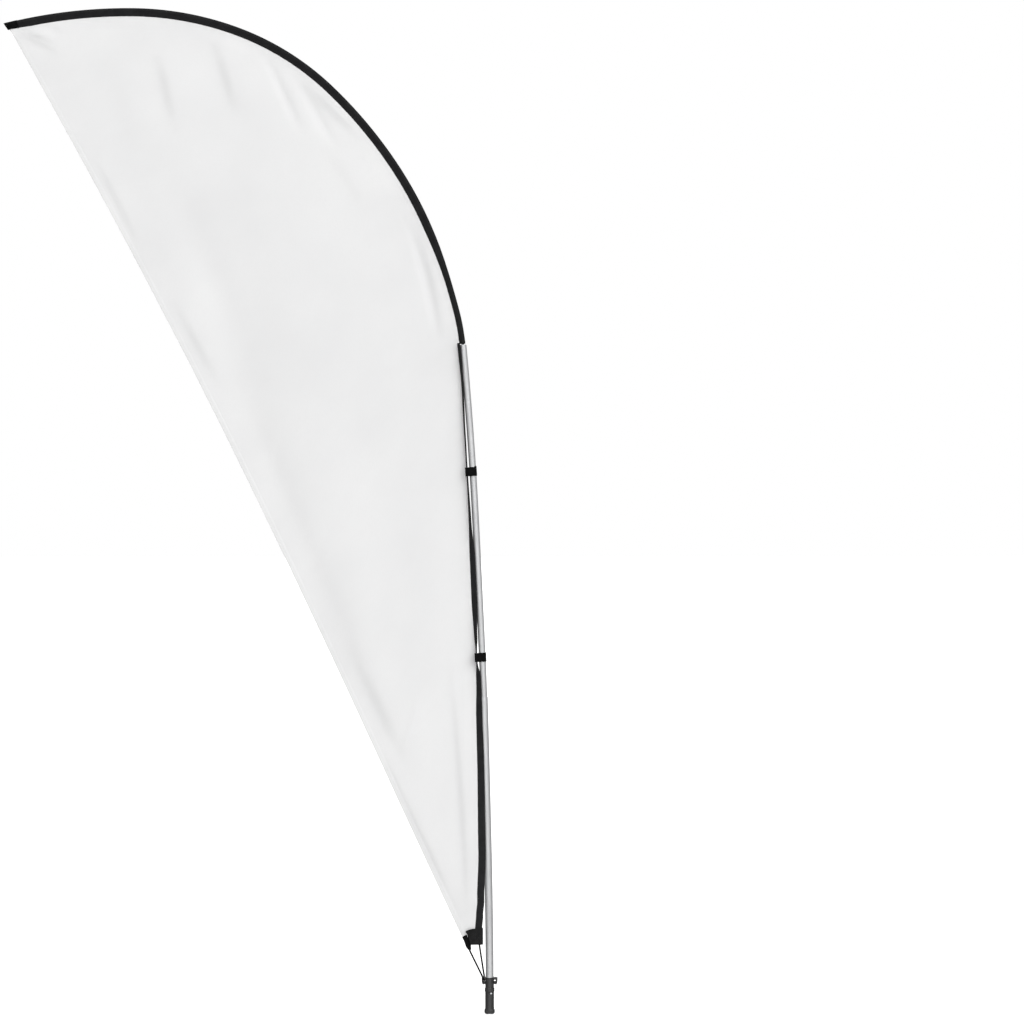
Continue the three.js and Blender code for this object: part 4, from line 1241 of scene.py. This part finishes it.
def corner_band():
    """Wide webbing folded round the corner: its top left curls forward and its free end is cut askew."""
    radius = (BAND_BACK - BAND_FRONT) / 2
    fold = arc(BAND_RIGHT - radius, (BAND_BACK + BAND_FRONT) / 2, radius, -90, 90, 16)
    path = evenly_spaced([(BAND_LEFT, BAND_FRONT), *fold, (BAND_LEFT + 5, BAND_BACK)], 1.0)
    run = distances(path)
    up = (edge_columns(0.5, 0.035, 22) + 0.5)[None]
    x, y = path[:, 0][:, None], path[:, 1][:, None]
    front = np.clip((x - BAND_LEFT) / (BAND_RIGHT - BAND_LEFT), 0, 1)
    top = BAND_BOTTOM + BAND_HEIGHT + 1.2 + 3.8 * np.sin(math.pi / 2 * np.clip(front / 0.5, 0, 1))
    z = BAND_BOTTOM + (top - BAND_BOTTOM) * up
    on_front = np.clip(1 - run / 40, 0, 1)[:, None]
    curl = on_front * np.clip((up - 0.72) / 0.28, 0, 1)
    lip = 4.6 * np.sin(math.pi / 2 * curl)
    crease = 0.6 * np.sin(up * 9 + run[:, None] / 6) * np.clip(1 - run / 24, 0, 1)[:, None]
    hem = 0.7 * np.exp(-((up / 0.04) ** 2)) * (run[:, None] < 46)
    y = y - lip - crease + hem
    z = z - 2.6 * curl**3
    x = x + 12.5 * on_front * (1 - np.clip(up / 0.84, 0, 1)) ** 0.8 - 1.4 * curl
    thickness = soft_edges(up[0] - 0.5, 0.5, 0.035, WEBBING)
    return thick_sheet("corner_band_folded", joined(x, y, z), thickness[None], joined(run[:, None], 0.0, z))


def corner_tab():
    """The folded tab at the sail's corner: two layers of webbing, drawn to the cord."""
    right_side = [(14.2, 3.6), (25.6, -23.9), (26.7, -39.9)]
    offsets = [(1.2, -3.7), *right_side, (22.2, -42.7), (12.7, -31.5), (6.5, -13.5)]
    outline = rounded([(SAIL_CORNER[0] + x, SAIL_CORNER[2] + z) for x, z in offsets], 2.5, 4)
    mesh = bmesh.new()
    for k, (low, high) in enumerate(((-3.2, -1.0), (0.9, 2.5))):
        slip = 0.5 * k
        ring = [mesh.verts.new((x + slip, SAIL_CORNER[1] + low, z + slip)) for x, z in outline]
        face = mesh.faces.new(ring)
        top = bmesh.ops.extrude_face_region(mesh, geom=[face])["geom"]
        moved = [v for v in top if isinstance(v, bmesh.types.BMVert)]
        bmesh.ops.translate(mesh, verts=moved, vec=(0, high - low, 0))
    bmesh.ops.recalc_face_normals(mesh, faces=mesh.faces)
    rims = [e for e in mesh.edges if len(e.link_faces) == 2 and e.calc_face_angle(0) > 1.2]
    bmesh.ops.bevel(mesh, geom=rims, offset=0.6, segments=3, affect="EDGES", profile=0.5)
    bmesh.ops.triangulate(mesh, faces=[f for f in mesh.faces if len(f.verts) > 4])
    bmesh.ops.scale(mesh, vec=(MM, MM, MM), verts=mesh.verts)
    data = bpy.data.meshes.new("corner_tab_folded")
    mesh.to_mesh(data)
    mesh.free()
    piece = bpy.data.objects.new("corner_tab_folded", data)
    scene.collection.objects.link(piece)
    data.shade_smooth()
    data.set_sharp_from_angle(angle=math.radians(50))
    place_local(piece)
    return piece


finish_piece(corner_band(), "mast", "webbing", webbing, "corner_band")


def corner_stitches():
    """The box of stitching that holds the tape's end in the band, with a cross in it."""
    left, right, low, high = -39.5, -21.5, 202.5, 227.0
    face = BAND_FRONT - WEBBING / 2 - 0.1
    box = [(left, low), (right, low), (right, high), (left, high)]
    cross = [(left, low), (right, high), (right, low), (left, high)]
    line = evenly_spaced([(x, face, z) for x, z in box + cross], 0.5)
    outward = np.tile([0.0, -1.0, 0.0], (len(line), 1))
    made = stitches("corner_box_stitches", line, outward, 2.6, 2.1, 0.36)
    finish_piece(made, "mast", "webbing", black_thread)


corner_stitches()
finish_piece(corner_tab(), "mast", "webbing", strap_cloth, "corner_tab")

# ---- Straps ----

FOLD_ANGLE = -35


def strap_sheet(name, path, height, bulge):
    """A strap piece: a path in the mast's own section at its height, as wide as the strap."""
    path = evenly_spaced(path, 0.7)
    run = distances(path)
    across = edge_columns(STRAP_WIDTH / 2, 0.6, 19)
    side, back = (np.repeat(path[:, k][:, None], len(across), axis=1) for k in (0, 1))
    s = np.repeat(height + across[None], len(path), axis=0)
    lifted = bulge(run[:, None] / run[-1], across[None] / (STRAP_WIDTH / 2))
    points = beside(height, side, back)
    lean = math.radians(float(evenly(LEANS, height)))
    way = np.array([-math.sin(lean), 0, math.cos(lean)])
    points = points + (across[None, :, None] + lifted[..., 1:2]) * way
    down = np.gradient(points, axis=0)
    normal = np.cross(down, way)
    normal /= np.linalg.norm(normal, axis=2, keepdims=True)
    points = points + normal * lifted[..., 0:1]
    thickness = soft_edges(across, STRAP_WIDTH / 2, 0.6, STRAP_THICKNESS)
    return thick_sheet(name, points, thickness[None], joined(run[:, None], 0.0, s))


def strap(name, height):
    middle = UPPER_TUBE_DIAMETER / 2 + STRAP_CLEARANCE + STRAP_THICKNESS / 2
    outside = middle + STRAP_THICKNESS / 2
    tab_front = -(TAPE_WIDTH / 2 + GAP + STRAP_THICKNESS / 2 + 0.4)
    beside_tape = -outside - STRAP_THICKNESS / 2 + 0.6
    round_tube = arc(0, 0, middle, 180, FOLD_ANGLE, 40)
    band = [(-FLAP_REACH, tab_front), (beside_tape, tab_front), (beside_tape, tab_front / 2), *round_tube]
    closing = -max(middle, -tab_front + STRAP_THICKNESS + GAP)
    step = math.degrees(GAP / middle)
    over_tab = [(beside_tape + 1.8, closing), (-FLAP_REACH, closing - 0.2)]
    flap = [*arc(0, 0, middle, FOLD_ANGLE - step, -90, 20), *over_tab]
    kink = 3.2 if name == "upper" else 0.5

    def kinked(share, across):
        """The loop's top edge is pushed up where the flap leaves it."""
        up = kink * np.exp(-(((share - 0.96) / 0.08) ** 2)) * np.clip((across - 0.2) / 0.8, 0, 1) ** 2
        return joined(0.0, up)

    def lifted(share, across):
        """The flap's free end stands off a little, more at its upper corner."""
        off = -1.3 * np.clip((share - 0.7) / 0.3, 0, 1) ** 2 * (0.55 + 0.45 * across)
        up = kink * np.exp(-((share / 0.12) ** 2)) * np.clip((across - 0.2) / 0.8, 0, 1) ** 2
        return joined(off, up)

    band_piece = strap_sheet(f"strap_{name}_loop", band, height, kinked)
    flap_piece = strap_sheet(f"strap_{name}_closing", flap, height, lifted)
    finish_piece(band_piece, "mast", "strap_webbing", strap_cloth, f"strap_{name}_band")
    finish_piece(flap_piece, f"{name}_flap", "strap_webbing", strap_cloth, f"strap_{name}_flap")


for strap_name, strap_height in STRAP_HEIGHTS.items():
    strap(strap_name, strap_height)
